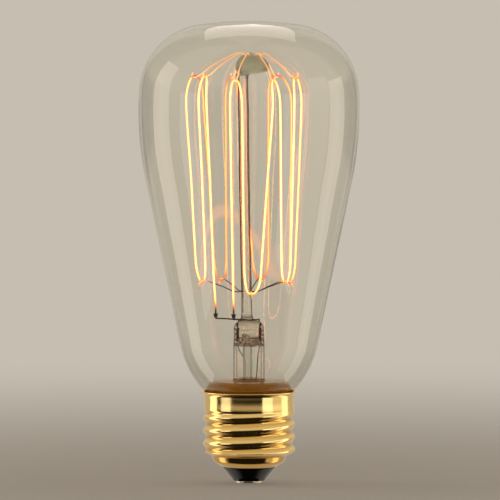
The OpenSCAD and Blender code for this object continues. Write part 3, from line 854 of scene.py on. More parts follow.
# Soda-lime glass of the bulb, blown into a mould: clear, with a faint olive edge of painted shade.
BULB_GLASS = BlownGlass("bulb_glass_blown")
# Lead glass drawn into a rod: clear, with dark lines of painted shade at its sides.
ROD_GLASS = BlownGlass(
    "lead_glass_rod_drawn", "#FDFDFA", "#E0DCC0", 30, 0.0, 1.54, 9, 0.02, "#2E2010", 0.26, 0.5, 0.5
)
# Lead glass softened and pinched flat on its wires: a little yellow and wavy, with a brown edge of
# painted shade.
PRESS_GLASS = BlownGlass(
    "press_glass_pinched", "#F9F5EA", "#D8C8A0", 60, 0.01, 1.55, 2.2, 0.06, "#5A4024", 0.4, 0.8, 0.5
)
# Lead glass drawn into a thin tube, with dark edges of painted shade.
EXHAUST_GLASS = BlownGlass(
    "exhaust_glass_drawn", "#FDFDFA", "#E0D8B8", 40, 0.0, 1.54, 6, 0.02, "#2E2010", 0.3, 0.6, 0.5
)
# Lead-glass tube with its flared foot fused to the throat and browned by the cement's baking.
STEM_GLASS = StemGlass("stem_glass_flared")
# Soft glass melted into a button round the ends of the hooks.
BUTTON_GLASS = CloudyGlass("button_glass_melted")
# Thread wound into a coil and carbonised, yellow-hot in the middle of its legs.
COIL = GlowingCoil("carbonised_coil_glowing")
# Brass of the shell, drawn, rolled and lacquered.
SHELL_BRASS = RolledBrass("cap_brass_rolled")
# Black lead glass moulded hot into the shell's mouth: nearly black and glossy.
BLACK_GLASS = PlainSurface("black_glass_moulded", "#0E0E11", "#050506", 0.1, 0, 3, 1.5, 0.02)
# Brass pressed into a disc and dulled by handling and by the heat of soldering.
CONTACT_BRASS = PlainSurface("contact_brass_pressed", "#DCCCAA", "#B8A684", 0.3, 1, 1.2, 0.25, 0.02)
# Tin-lead solder wiped on molten: a bright grey with a frosted, grainy skin.
SOLDER = PlainSurface("solder_wiped", "#C9C6BE", "#8F8A80", 0.32, 1, 0.9, 0.3, 0.06)
# Basing cement of marble flour and shellac, baked: ochre-brown and matt.
CEMENT = PlainSurface("basing_cement_baked", "#D3A23C", "#A47420", 0.8, 0, 1.8, 0.4, 0.1)
# Molybdenum hooks, drawn and greyed by the flame, with a painted glow that stands in for the
# filament's light on them.
HOOK_WIRE = DrawnWire("molybdenum_wire_drawn", "#8A7A6C", "#453A33", 1, 0.4, 1.5, "#FFAE60", 2.0)
# Nickel leads, flattened by oxide from the flame to a dark brownish grey.
LEAD_NICKEL = DrawnWire("nickel_wire_oxidised", "#5A4C3E", "#2B221A", 0.9, 0.42, 1.0)
# Copper-clad seal wire, dipped in borax and fired: dark brick red.
SEAL_RED = DrawnWire("borated_copper_wire", "#7A3322", "#3F1810", 0.35, 0.4, 0.9)
# Copper leads, bare, browned by the heat of the press.
LEAD_COPPER = DrawnWire("copper_wire_browned", "#8A5232", "#3F2718", 0.9, 0.4, 1.2)


def place(
    piece: bpy.types.Object, finish: Finish, node: str, shadow: bool = True
) -> None:
    """Gives a piece its finish and the body it rides on, and hides the CAD node it stands for.

    Args:
        piece: The finished piece.
        finish: Its finish.
        node: The CAD node that the piece replaces.
        shadow: False for clear glass and for what glows.
    """
    piece.data.materials.append(shared(finish))
    piece.visible_shadow = shadow
    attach(piece, "root")
    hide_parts(node)
    LOG.info("%s: %d faces, %s", piece.name, len(piece.data.polygons), finish.name)


# ---------------------------------------------------------------- the cage's own frame


@dataclass(frozen=True)
class Cage:
    """Where the arbor leans and how the filament is hung round it.

    A row of the two tables is a bend: the angles of the leg that arrives, of the hook and of the
    leg that leaves, and how far the bend is shifted up and outwards.
    """

    arbor_foot: tuple[float, float] = (-0.45, 44.2)
    lean: float = 1.1
    upper_r: float = 16.3
    lower_r: float = 14.4
    upper_z: float = LAMP_H - 15.8
    lower_z: float = PRESS_TOP + 10.9
    upper_inset: float = 1.5
    lower_inset: float = 1.3
    upper_bend_h: float = 7
    lower_bend_h: float = 6.5
    first_leg: float = -40
    last_leg: float = -375
    upper: tuple[tuple[float, ...], ...] = (
        (-39, -45, -50, 0.5, 0),
        (-97, -112, -136, 0.1, 0),
        (-162, -168, -175, -0.4, 0),
        (-206, -222, -238, 0, 0),
        (-264, -281, -300, 0.3, 0.5),
        (-320, -324, -329, -0.7, 0),
        (-361, -368, -373, -0.8, 0),
    )
    lower: tuple[tuple[float, ...], ...] = (
        (-53, -75, -90, 0, 0),
        (-140, -146, -157, -0.1, 0),
        (-188, -199, -207, 0.2, 0),
        (-241, -250, -258, -0.6, 0),
        (-299, -302, -316, 0.1, 0),
        (-343, -354, -362, -2.6, 0),
    )

    def arbor_x(self, z: Any) -> Any:
        """Where the leaning arbor's centre is at a height."""
        return self.arbor_foot[0] - (z - self.arbor_foot[1]) * math.tan(math.radians(self.lean))

    def point(self, angle: Any, r: Any, z: Any) -> np.ndarray:
        """A point of the cage: (arbor_x(z) + r sin a, -r cos a, z)."""
        return around(r, np.radians(angle), z, (self.arbor_x(z), 0))

    def hook(self, bend: Sequence[float], upper: bool) -> tuple[float, float, float]:
        """Where a bend turns.

        Args:
            bend: Its row of the tables.
            upper: True for an upper bend.

        Returns:
            Angle, radius and height.
        """
        if upper:
            return bend[1], self.upper_r + bend[4] - self.upper_inset, self.upper_z + bend[3]
        return bend[1], self.lower_r + bend[4] - self.lower_inset, self.lower_z + bend[3]

    def turn(self, bend: Sequence[float], upper: bool) -> np.ndarray:
        """A bend, from the leg that arrives over its hook to the leg that leaves.

        With f from 0 to 180 degrees and c = sign(cos f) |cos f|^(2/3), the angle goes from b0 to
        b2 as (1 - c) / 2 and leans to the hook by (b1 - middle) sin^3 f; the radius goes from the
        leg's to the hook's as sin^2 f, and the height as sin f.

        Args:
            bend: Its row of the tables.
            upper: True for an upper bend.

        Returns:
            Points along the bend.
        """
        _, r, z = self.hook(bend, upper)
        leg_r = (self.upper_r if upper else self.lower_r) + bend[4]
        leg_z = z - self.upper_bend_h if upper else z + self.lower_bend_h
        f = np.radians(np.linspace(0, 180, 73))
        sine, cosine = np.sin(f), np.cos(f)
        across = np.sign(cosine) * np.abs(cosine) ** (2 / 3)
        lean = bend[1] - (bend[0] + bend[2]) / 2
        angle = mix(bend[0], bend[2], (1 - across) / 2) + lean * sine**3
        return self.point(angle, mix(leg_r, r, sine**2), mix(leg_z, z, sine))

    def hook_points(self, upper: bool) -> np.ndarray:
        """The tips of all the upper or all the lower bends."""
        rows = self.upper if upper else self.lower
        return np.stack([self.point(*self.hook(bend, upper)) for bend in rows])


class Side(Enum):
    """The two sides of the mount, as the sign of x."""

    LEFT = -1
    RIGHT = 1


@dataclass
class Filament:
    """The filament and the two clamps that hold its ends."""

    cage: Cage
    step: float = 0.4
    clamp_z: float = PRESS_TOP + 1.2
    clamp_h: float = 1.1
    clamp_r: float = 0.5
    pinch_depth: float = 0.35
    pinch_span: float = 0.22
    ear_reach: float = 0.22
    ear_h: float = 0.35
    ear_power: int = 12
    bow_share: float = 0.45
    bow: float = 0.5
    eased: tuple[float, int] = (4.5, 6)
    heat_least: float = 0.25
    hook_loss: float = 0.4
    hook_reach: float = 2.4
    # Painted shade: how much dimmer the legs at the back glow, where along y that starts, and over
    # what span.
    back_painted_shade: float = 0.5
    painted_shade_start: float = -4
    painted_shade_span: float = 14
    clamp_loss: float = 1.1
    clamp_reach: float = 3.4
    ends: dict[Side, tuple[float, float]] = field(
        default_factory=lambda: {Side.LEFT: (-9.4, -5.8), Side.RIGHT: (-4.3, -9.6)}
    )

    def end(self, side: Side, angle: float) -> np.ndarray:
        """The path from a clamp up to the height where its leg starts.

        Args:
            side: Which clamp.
            angle: The leg's angle round the cage.

        Returns:
            Points from the clamp upwards.
        """
        x, y = self.ends[side]
        low = np.array([x, y, self.clamp_z + self.clamp_h + 0.5])
        leg = self.cage.point(angle, self.cage.lower_r, self.cage.lower_z + self.cage.lower_bend_h)
        middle = mix(low, leg, self.bow_share) - np.array([0, self.bow, 0])
        rise = smooth_line([low, middle, leg], 20, [0, 0, 1], [0, 0, 1])
        return np.concatenate([[[x, y, self.clamp_z + self.clamp_h / 2]], rise])

    def path(self) -> np.ndarray:
        """The whole centre line, from the left clamp up and down round the cage to the right.

        Returns:
            Its points, evenly spaced.
        """
        runs = [self.end(Side.LEFT, self.cage.first_leg)]
        for number, bend in enumerate(self.cage.upper):
            runs.append(self.cage.turn(bend, True))
            if number < len(self.cage.lower):
                runs.append(self.cage.turn(self.cage.lower[number], False))
        runs.append(self.end(Side.RIGHT, self.cage.last_leg)[::-1])
        return even_steps(np.concatenate(runs), self.step)

    def build(self) -> None:
        """Makes the filament with its heat.

        The heat is 1 less the loss at a hook, by nearness, and less a painted shade that dims the
        legs at the back, by a smooth step along y. It is held above its least value, and then falls
        to
        0 at the clamps.
        """
        ends = np.array([[x, y, self.clamp_z + self.clamp_h] for x, y in self.ends.values()])
        hooks = np.concatenate([self.cage.hook_points(True), self.cage.hook_points(False)])
        path = relaxed(self.path(), np.concatenate([hooks, ends]), *self.eased)
        out = path * [1, 1, 0]
        out[:, 0] -= self.cage.arbor_x(path[:, 2])
        grid = wire(path, FILAMENT_R, 10, unit(out), self.step)
        # Painted shade: the legs at the back glow less and redder.
        behind = ease((grid[..., 1] - self.painted_shade_start) / self.painted_shade_span)
        loss = self.hook_loss * nearness(grid, hooks, self.hook_reach) + self.back_painted_shade * behind
        heat = np.clip(1 - loss, self.heat_least, 1)
        heat *= np.clip(1 - self.clamp_loss * nearness(grid, ends, self.clamp_reach), 0, 1)
        run = np.broadcast_to(run_along(grid.mean(axis=1))[:, None], heat.shape)
        piece = surface("filament_coil", grid, poles=True, values={"heat_and_painted_light": heat, "run": run})
        piece.visible_diffuse = False
        place(piece, COIL, "filament", shadow=False)
        piece.data.materials[0].cycles.emission_sampling = "NONE"

    def build_clamps(self) -> None:
        """Makes each clamp: a short tube, pinched in its middle, with two ears at its top.

        The radius at a height h and an angle a is r (1 - p cos^2 a), where the pinch p is largest
        half way up. The ears are added by |sin a|^12, and fade away below the top.
        """
        a = circle(32)
        h = np.linspace(0, self.clamp_h, 17)[:, None]
        pinch = self.pinch_depth * np.exp(-(((h / self.clamp_h - 0.5) / self.pinch_span) ** 2))
        near_top = np.exp(-(((h - self.clamp_h) / self.ear_h) ** 2))
        ears = self.ear_reach * np.abs(np.sin(a)) ** self.ear_power * near_top
        r = self.clamp_r * (1 - pinch * np.cos(a) ** 2) + ears
        close = np.array([0.3, 0.75, 1.0])[:, None] * (1 + 0 * a)
        r = np.concatenate([r[:1] * close, r[1:-1], r[-1:] * close[::-1]])
        z = np.concatenate([np.zeros(3), h[1:-1, 0], np.full(3, self.clamp_h)])[:, None] + 0 * a
        for side, (x, y) in self.ends.items():
            grid = around(r, a, self.clamp_z + z, (x, y))
            name = side.name.lower()
            piece = surface(f"clamp_{name}_crimped", grid, poles=True)
            place(piece, LEAD_NICKEL, f"filament_clamp_{name}")


@dataclass
class Mount:
    """The arbor, its button, and the hooks that hold the filament."""

    cage: Cage
    button_z: float = LAMP_H - 13.5
    button_shift: float = 2.7
    button_r: float = 5
    dome_h: float = 4.514
    foot_h: float = 1.586
    arm_drop: float = 0.7
    arm_area: float = 3.2
    rod_end: float = 1.7
    foot_swell: float = 0.9
    top_swell: float = 0.5
    swell_span: float = 0.5
    ring_drop: float = 2.7
    seat_share: tuple[float, float] = (0.18, 0.66)
    wire_r: float = 0.15
    hook_gap: float = 0.08
    # Painted light on the hooks: how far the glow reaches from a hook's tip, and its least value
    # along the hook.
    upper_painted_glow: tuple[float, float] = (5.0, 0.55)
    lower_painted_glow: tuple[float, float] = (1.6, 0.0)

    @property
    def button_x(self) -> float:
        """Where the button's centre is."""
        return self.cage.arbor_x(self.button_z) + self.button_shift

    @property
    def offset(self) -> float:
        """The distance from the filament's centre line to a hook's."""
        return FILAMENT_R + self.wire_r + self.hook_gap

    def build_arbor(self) -> None:
        """Makes the glass rod, which swells where it is fused to the press and to the button.

        Its radius is R + s exp(-h / d) + t exp(-g / d) with s and t the two swellings, d their
        span, and h and g the distances from foot and top. Two slow waves make it a little uneven,
        and it leans with the cage.
        """
        foot, top, span = PRESS_TOP + GAP, self.button_z - self.rod_end, self.swell_span
        z = np.concatenate([foot + 3 * np.linspace(0, 1, 24) ** 2, np.linspace(foot + 4, top, 90)])
        r = ARBOR_R + self.foot_swell * np.exp(-(z - foot) / span)
        r = r + self.top_swell * np.exp(-(top - z) / span)
        r += 0.03 * np.sin(0.31 * z) + 0.02 * np.sin(0.77 * z + 1)
        shrink = np.array([0.3, 0.7, 0.95])
        r = np.concatenate([r[0] * shrink, r, r[-1] * shrink[::-1]])
        z = np.concatenate([np.full(3, z[0]), z, np.full(3, z[-1])])
        grid = lathe(np.stack([r, z], axis=1), 48)
        grid[..., 0] += self.cage.arbor_x(grid[..., 2])
        piece = surface("arbor_rod_drawn", grid, poles=True)
        place(piece, ROD_GLASS, "arbor_rod", shadow=False)

    def build_button(self) -> None:
        """Makes the button: a dome over a flatter foot with a lumpy skin, drawn down to the arbor.

        Its radius is scaled by 0.97 + 0.04 sin(3 a + 1) sin f + 0.03 sin(2 f + a). Its foot is
        drawn down round the arbor by exp(-d^2 / arm_area), with d the distance from its middle.
        """
        f = np.radians(np.linspace(-88, 88, 60))[:, None]
        a = circle(72)
        lump = 1 + 0.04 * np.sin(3 * a + 1) * np.sin(f) + 0.03 * np.sin(2 * f + a) - 0.03
        x = self.button_r * lump * np.cos(f) * np.sin(a)
        y = -self.button_r * lump * np.cos(f) * np.cos(a)
        z = np.where(f < 0, self.foot_h, self.dome_h) * lump * np.sin(f)
        arm = np.exp(-(((x + self.button_shift) ** 2 + y**2) / self.arm_area)) * (f < 0)
        z = z - self.arm_drop * arm
        grid = np.stack([self.button_x + x, y, self.button_z + z], axis=-1)
        piece = surface("upper_button_melted", grid, poles=True)
        place(piece, BUTTON_GLASS, "upper_button", shadow=False)

    def upper_path(self, bend: Sequence[float]) -> tuple[np.ndarray, np.ndarray]:
        """The line of an upper hook: out of the button, over in an arch, under its bend and up.

        Args:
            bend: Its row of the tables.

        Returns:
            The line, and the level direction square to its own upright plane.
        """
        angle, r, z = self.cage.hook(bend, True)
        tip = self.cage.point(angle, r, z - self.offset)
        level = np.array([tip[0] - self.button_x, tip[1]])
        reach, u = float(np.linalg.norm(level)), unit(level)
        rise = tip[2] - self.button_z
        profile = [
            (0.6 * self.button_r, 0.93 * self.dome_h),
            (0.47 * reach, 0.62 * self.dome_h),
            (0.72 * reach, 0.09 * self.dome_h),
            (reach - 1, rise + 0.35),
            (reach, rise),
            (reach + 0.7, rise + 0.55),
            (reach + 0.6, rise + 1.4),
        ]
        seat = (self.seat_share[0] * self.button_r, self.seat_share[1] * self.dome_h)
        start = [profile[0][0] - seat[0], profile[0][1] - seat[1]]
        line = np.concatenate([[seat], smooth_line(profile, 16, start)])
        out, up = line.T
        points = [self.button_x + out * u[0], out * u[1], self.button_z + up]
        return np.stack(points, axis=1), np.array([-u[1], u[0], 0.0])

    def lower_path(self, bend: Sequence[float]) -> tuple[np.ndarray, np.ndarray]:
        """The line of a lower hook: out of the arbor, over the filament in its bend, and down.

        Args:
            bend: Its row of the tables.

        Returns:
            The line, and the level direction square to its own upright plane.
        """
        angle, r, z = self.cage.hook(bend, False)
        a = math.radians(angle)
        out = np.array([math.sin(a), -math.cos(a), 0])
        up = np.array([0, 0, 1.0])
        ring_z = self.cage.lower_z - self.ring_drop
        seat = np.array([self.cage.arbor_x(ring_z), 0, ring_z]) + 0.75 * out
        start = seat + (ARBOR_R + 0.4) * out
        top = self.cage.point(angle, r, z + self.offset)
        knots = [
            start,
            mix(start, top - out, 0.5) + 0.1 * up,
            top - 0.9 * out,
            top,
            top + 0.7 * out - 0.55 * up,
            top + 0.9 * out - 2.2 * up,
        ]
        line = np.concatenate([[seat], smooth_line(knots, 16, out)])
        return line, np.array([math.cos(a), math.sin(a), 0.0])

    def build_hooks(self) -> None:
        """Makes the thirteen hooks, with a painted glow that is brightest where they hold the
        filament.

        The glow goes from its least value to 1 by the nearness to the hook's tip. It is painted
        light, the filament's warm light on the hook.
        """
        for upper, rows, (reach, least) in (
            (True, self.cage.upper, self.upper_painted_glow),
            (False, self.cage.lower, self.lower_painted_glow),
        ):
            tips = self.cage.hook_points(upper)
            for number, bend in enumerate(rows, 1):
                line, square = self.upper_path(bend) if upper else self.lower_path(bend)
                grid = wire(line, self.wire_r, 10, square, 0.3)
                # Painted light: the filament's glow on the hook, brightest at its tip.
                heat = mix(least, 1, nearness(grid, tips[number - 1 : number], reach))
                name = f"{'upper' if upper else 'lower'}_support_{number}"
                piece = surface(f"{name}_wire", grid, poles=True, values={"heat_and_painted_light": heat})
                place(piece, HOOK_WIRE, name)


@dataclass
class Stem:
    """The flared tube, the pinched press on it, the exhaust tube and the wires through them."""

    wall: float = 0.8
    exhaust_r: float = 1.3
    exhaust_wall: float = 0.35
    exhaust_x: float = -0.4
    exhaust_tip: float = 14
    shoulder_z: float = CAP_H + 3
    shoulder_gap: float = 3.5
    fillet: float = 0.8
    land: tuple[float, float] = (0.1, 0.9)
    seal_r: float = 0.35
    seal_z: tuple[float, float] = (PRESS_BASE + 1.62, PRESS_TOP - 2.02)
    bubbles: tuple[tuple[tuple[float, ...], tuple[float, ...]], ...] = (
        ((-1.25, -0.95, 42.3), (0.72, 0.85, 0.62)),
        ((0.25, -1.1, 41.5), (0.42, 0.5, 0.4)),
    )

    def throat_r(self, z: float) -> float:
        """Radius of the bulb's inner face near the rim, less a gap of 0.04.

        It is cx + sqrt(r^2 - (cz - z)^2), with (cx, cz) the centre of the throat's arc.

        Args:
            z: Height.

        Returns:
            The radius.
        """
        bulb = Bulb()
        r = bulb.throat_radius - bulb.wall - 0.04
        centre = bulb.centres()["throat"]
        return float(centre[0] + math.sqrt(r * r - (centre[1] - z) ** 2))

    def build_flare(self) -> None:
        """Makes the tube with its flare.

        Outer line: down the tube, round a fillet to a flat shoulder, and over to a narrow land on
        the throat. Inner line: the outer one moved in by the wall.
        """
        shoulder_r = self.throat_r(self.shoulder_z) - self.shoulder_gap
        low, high = (CAP_H + h for h in self.land)
        top = PRESS_BASE - GAP
        turn_z = self.shoulder_z + self.fillet
        tube = np.stack([np.full(40, STEM_R), np.linspace(top, turn_z + 0.3, 40)], axis=1)
        turn = arc([STEM_R + self.fillet, turn_z], self.fillet, 180, 270, 16)
        over = smooth_line(
            [
                [shoulder_r - 1.4, self.shoulder_z - 0.05],
                [shoulder_r - 0.7, self.shoulder_z - 0.1],
                [shoulder_r + 0.2, self.shoulder_z - 0.45],
                [self.throat_r(high), high],
            ],
            10,
            [1, -0.05],
        )
        line = np.concatenate([tube, turn, over])
        inner = beside(line, self.wall)[:-1]
        ring = np.concatenate([line, [[self.throat_r(low), low]], inner[::-1]])
        piece = surface("stem_flare_drawn", lathe(ring, 128), wrap_rows=True)
        place(piece, STEM_GLASS, "stem_flare", shadow=False)

    def build_press(self) -> None:
        """Makes the pinched press.

        Each row is a superellipse |x/a|^n + |y/b|^n = 1. Going up, n grows from 2 to 3.2, b is
        drawn from the tube's radius in to 2 mm on a quarter of an ellipse, and both close over
        the top on quarter circles. Underneath, the tube's wavy inner end and the exhaust bore
        are drawn in as further rows.
        """
        top_r, edge_r, half_w, half_t, spread = 2.4, 1.0, 4.3, 2.0, 2.95
        p = np.radians(np.linspace(0, 90, 26))
        h = np.concatenate([np.linspace(0, 4.6, 40), PRESS_H - top_r + top_r * np.sin(p)])
        pinched = (h - 0.6) / 2.2
        q = np.clip(pinched, 0, 1)
        drawn = half_t + spread * (1 - np.sqrt(np.clip(1 - (1 - q) ** 2, 0, 1)))
        over = np.clip(h - (PRESS_H - edge_r), 0, edge_r)
        b = np.minimum(STEM_R, drawn) - edge_r + np.sqrt(edge_r**2 - over**2)
        corner = np.clip(h - (PRESS_H - top_r), 0, top_r)
        a = mix(STEM_R, half_w, ease(h / 2.8)) - top_r + np.sqrt(top_r**2 - corner**2)
        n = 2 + 1.2 * ease(pinched)
        t = circle(96)
        power = 2 / n[:, None]
        cx, cy = np.cos(t), np.sin(t)
        x = a[:, None] * np.sign(cx) * np.abs(cx) ** power
        y = b[:, None] * np.sign(cy) * np.abs(cy) ** power
        ripple = 0.06 * np.sin(2.3 * h[:, None] + 2 * t) * ease(h / 1.5)[:, None]
        y *= 1 - 0.5 * np.abs(ripple)
        z = PRESS_BASE + h[:, None] + 0 * t
        outer = np.stack([x, y, z], axis=-1)
        lid = np.array([0.75, 0.5, 0.25])[:, None, None]
        middle = outer[-1].mean(axis=0)
        outer = np.concatenate([outer, middle + (outer[-1] - middle) * lid])
        under = smooth_line(
            [
                [3.66, 0.0], [3.5, 0.45], [3.05, 0.9], [2.4, 1.05], [1.75, 0.95], [1.3, 0.8],
                [1.0, 0.85], [0.95, 1.3], [0.95, 2.0], [0.85, 2.5], [0.55, 2.85], [0.15, 3.0],
            ],
            4,
        )
        r, rise = under[:, :1], under[:, 1:]
        shift = self.exhaust_x * ease((3.4 - r) / 1.8)
        wave = 0.35 * np.sin(3 * t + 0.6) + 0.2 * np.sin(5 * t + 2)
        lift = rise * (1 + wave * ease((rise - 0.1) / 0.8) * ease((r - 1.1) / 0.6))
        inner = np.stack([shift + r * np.cos(t), r * np.sin(t), PRESS_BASE + lift], axis=-1)
        grid = np.concatenate([inner[::-1], outer])
        piece = surface("stem_press_pinched", grid, poles=True)
        self.add_bubbles(piece)
        place(piece, PRESS_GLASS, "stem_press", shadow=False)

    def add_bubbles(self, piece: bpy.types.Object) -> None:
        """Joins the blow hole and a smaller seed to the press, as hollows that face inwards.

        Each is an ellipsoid: centre + (ax cos f sin a, ay cos f cos a, az sin f), with f the
        angle above the level and a the angle round.

        Args:
            piece: The press.
        """
        hollows = []
        f, a = np.radians(np.linspace(-86, 86, 24))[:, None], circle(32)
        ball = around(np.cos(f), a, np.sin(f)) * [1, -1, 1]
        for number, (centre, axes) in enumerate(self.bubbles):
            grid = np.array(centre) + ball * np.array(axes)
            hollow = surface(f"press_hollow_{number}", grid, poles=True)
            hollow.data.flip_normals()
            hollows.append(hollow)
        chosen = [piece, *hollows]
        with bpy.context.temp_override(active_object=piece, selected_editable_objects=chosen):
            bpy.ops.object.join()

    def build_exhaust(self) -> None:
        """Makes the exhaust tube, open at its top and drawn shut in a point at its tip."""
        r, bore, top = self.exhaust_r, self.exhaust_r - self.exhaust_wall, PRESS_BASE + 0.66
        z = self.exhaust_tip
        tip = smooth_line([[0.15, z], [0.7 * r, z + 1], [r, z + 3]], 10, [1, 0.2], [0, 1])
        outer = np.stack([np.full(60, r), np.linspace(z + 3.4, top, 60)], axis=1)
        inner = np.stack([np.full(60, bore), np.linspace(top, z + 4, 60)], axis=1)
        point = smooth_line([[bore, z + 3.8], [0.4, z + 2.6], [0.08, z + 2.2]], 8)
        ring = np.concatenate([tip, outer, inner, point])
        piece = surface("exhaust_tube_sealed", lathe(ring, 48, (self.exhaust_x, 0)), poles=True)
        place(piece, EXHAUST_GLASS, "exhaust_tube", shadow=False)

    def build_seals(self) -> None:
        """Makes the two sealed wires inside the press, a little wavy."""
        for side in Side:
            x = side.value * SEAL_X
            z = np.linspace(*self.seal_z, 20)
            sway = 0.05 * np.sin(1.9 * z + side.value)
            path = np.stack([x + sway, 0 * z, z], axis=1)
            grid = wire(path, self.seal_r, 20, np.array([0, 1.0, 0]), 0.5)
            name = side.name.lower()
            piece = surface(f"seal_wire_{name}_borated", grid, poles=True)
            place(piece, SEAL_RED, f"seal_wire_{name}")


@dataclass
class Leads:
    """The leads inside the bulb and down in the cap."""

    filament: Filament
    inner_r: float = 0.2
    outer_r: float = 0.15

    def inner_path(self, side: Side) -> np.ndarray:
        """The line of an inner lead, out of the press and up into its clamp.

        Args:
            side: Which lead.

        Returns:
            Its points.
        """
        ways = {
            Side.LEFT: [(-3.7, -0.6, 0.25), (-6.4, -3, 0.65), (-8.6, -5.05, 0.9)],
            Side.RIGHT: [
                (2.3, -0.8, 0.25), (0.4, -3.5, 0.3), (-1.9, -6.4, 0.7), (-3.8, -9, 0.9),
            ],
        }
        way = [np.array(p) + [0, 0, PRESS_TOP] for p in ways[side]]
        x = side.value * SEAL_X
        clamp = np.array([*self.filament.ends[side], self.filament.clamp_z])
        top = np.array([x, 0, PRESS_TOP + 0.2])
        line = smooth_line([top, *way, clamp - [0, 0, 0.1]], 14, [0, 0, 1], [0, 0, 1])
        ends = [[x, 0, PRESS_TOP - 1.98]], [clamp + [0, 0, self.filament.clamp_h / 2 - GAP]]
        return np.concatenate([ends[0], line, ends[1]])

    def build(self) -> None:
        """Makes the four leads."""
        hints = {Side.LEFT: (0.68, -0.73, 0.0), Side.RIGHT: (0.8, 0.6, 0.0)}
        for side in Side:
            grid = wire(self.inner_path(side), self.inner_r, 12, np.array(hints[side]), 0.3)
            name = side.name.lower()
            piece = surface(f"inner_lead_{name}_wire", grid, poles=True)
            place(piece, LEAD_NICKEL, f"inner_lead_{name}")
        for name, path, hint in (
            ("side", self.side_path(), (1.0, 0.1, 0)),
            ("centre", self.centre_path(), (0.35, 0.94, 0)),
        ):
            grid = wire(path, self.outer_r, 12, np.array(hint), 0.3)
            piece = surface(f"outer_lead_{name}_wire", grid, poles=True)
            place(piece, LEAD_COPPER, f"outer_lead_{name}")

    def side_path(self) -> np.ndarray:
        """The lead to the shell: behind the exhaust tube, under the neck and up to the rim.

        Returns:
            Its points.
        """
        neck_r, bore_r, neck_end, rim = 11.605, 12.555, 21.8, 25.1
        climb = (neck_r + bore_r) / 2
        knots = [
            [-SEAL_X, 0, PRESS_BASE - 0.4],
            [-1.6, 1.5, PRESS_BASE - 3.6],
            [-1.4, 0.72 * 3.65, PRESS_BASE - 8],
            [-0.3, 3.65, CAP_H - 1],
            [0, 0.62 * neck_r, neck_end - 2.2],
            [0, neck_r - 0.2, neck_end - 0.9],
            [0, climb - 0.1, neck_end - 0.2],
            [0, climb, neck_end + 0.9],
            [0, climb, CAP_H - 2.1],
            [0, bore_r - 0.4, rim],
            [0, bore_r - 0.1, rim + 0.65],
            [0, bore_r + 0.4, CAP_H - 0.17],
            [0, bore_r + 0.85, CAP_H + 0.35],
        ]
        line = smooth_line(knots, 12, [0, 0, -1])
        return np.concatenate([[[-SEAL_X, 0, PRESS_BASE + 1.58]], line])

    def centre_path(self) -> np.ndarray:
        """The lead to the contact: in front of the exhaust tube and down through the eyelet.

        Returns:
            Its points.
        """
        knots = [
            [SEAL_X, 0, PRESS_BASE - 0.4],
            [2.5, -0.7, PRESS_BASE - 3],
            [2.1, -1.5, PRESS_BASE - 8],
            [1.2, -2.1, CAP_H - 1],
            [0.8, -2.2, 17],
            [0.2, -1.2, 11],
            [0, 0, 7],
        ]
        line = smooth_line(knots, 14, [0, 0, -1], [0, 0, -1])
        return np.concatenate([[[SEAL_X, 0, PRESS_BASE + 1.58]], line, [[0, 0, 0.6]]])


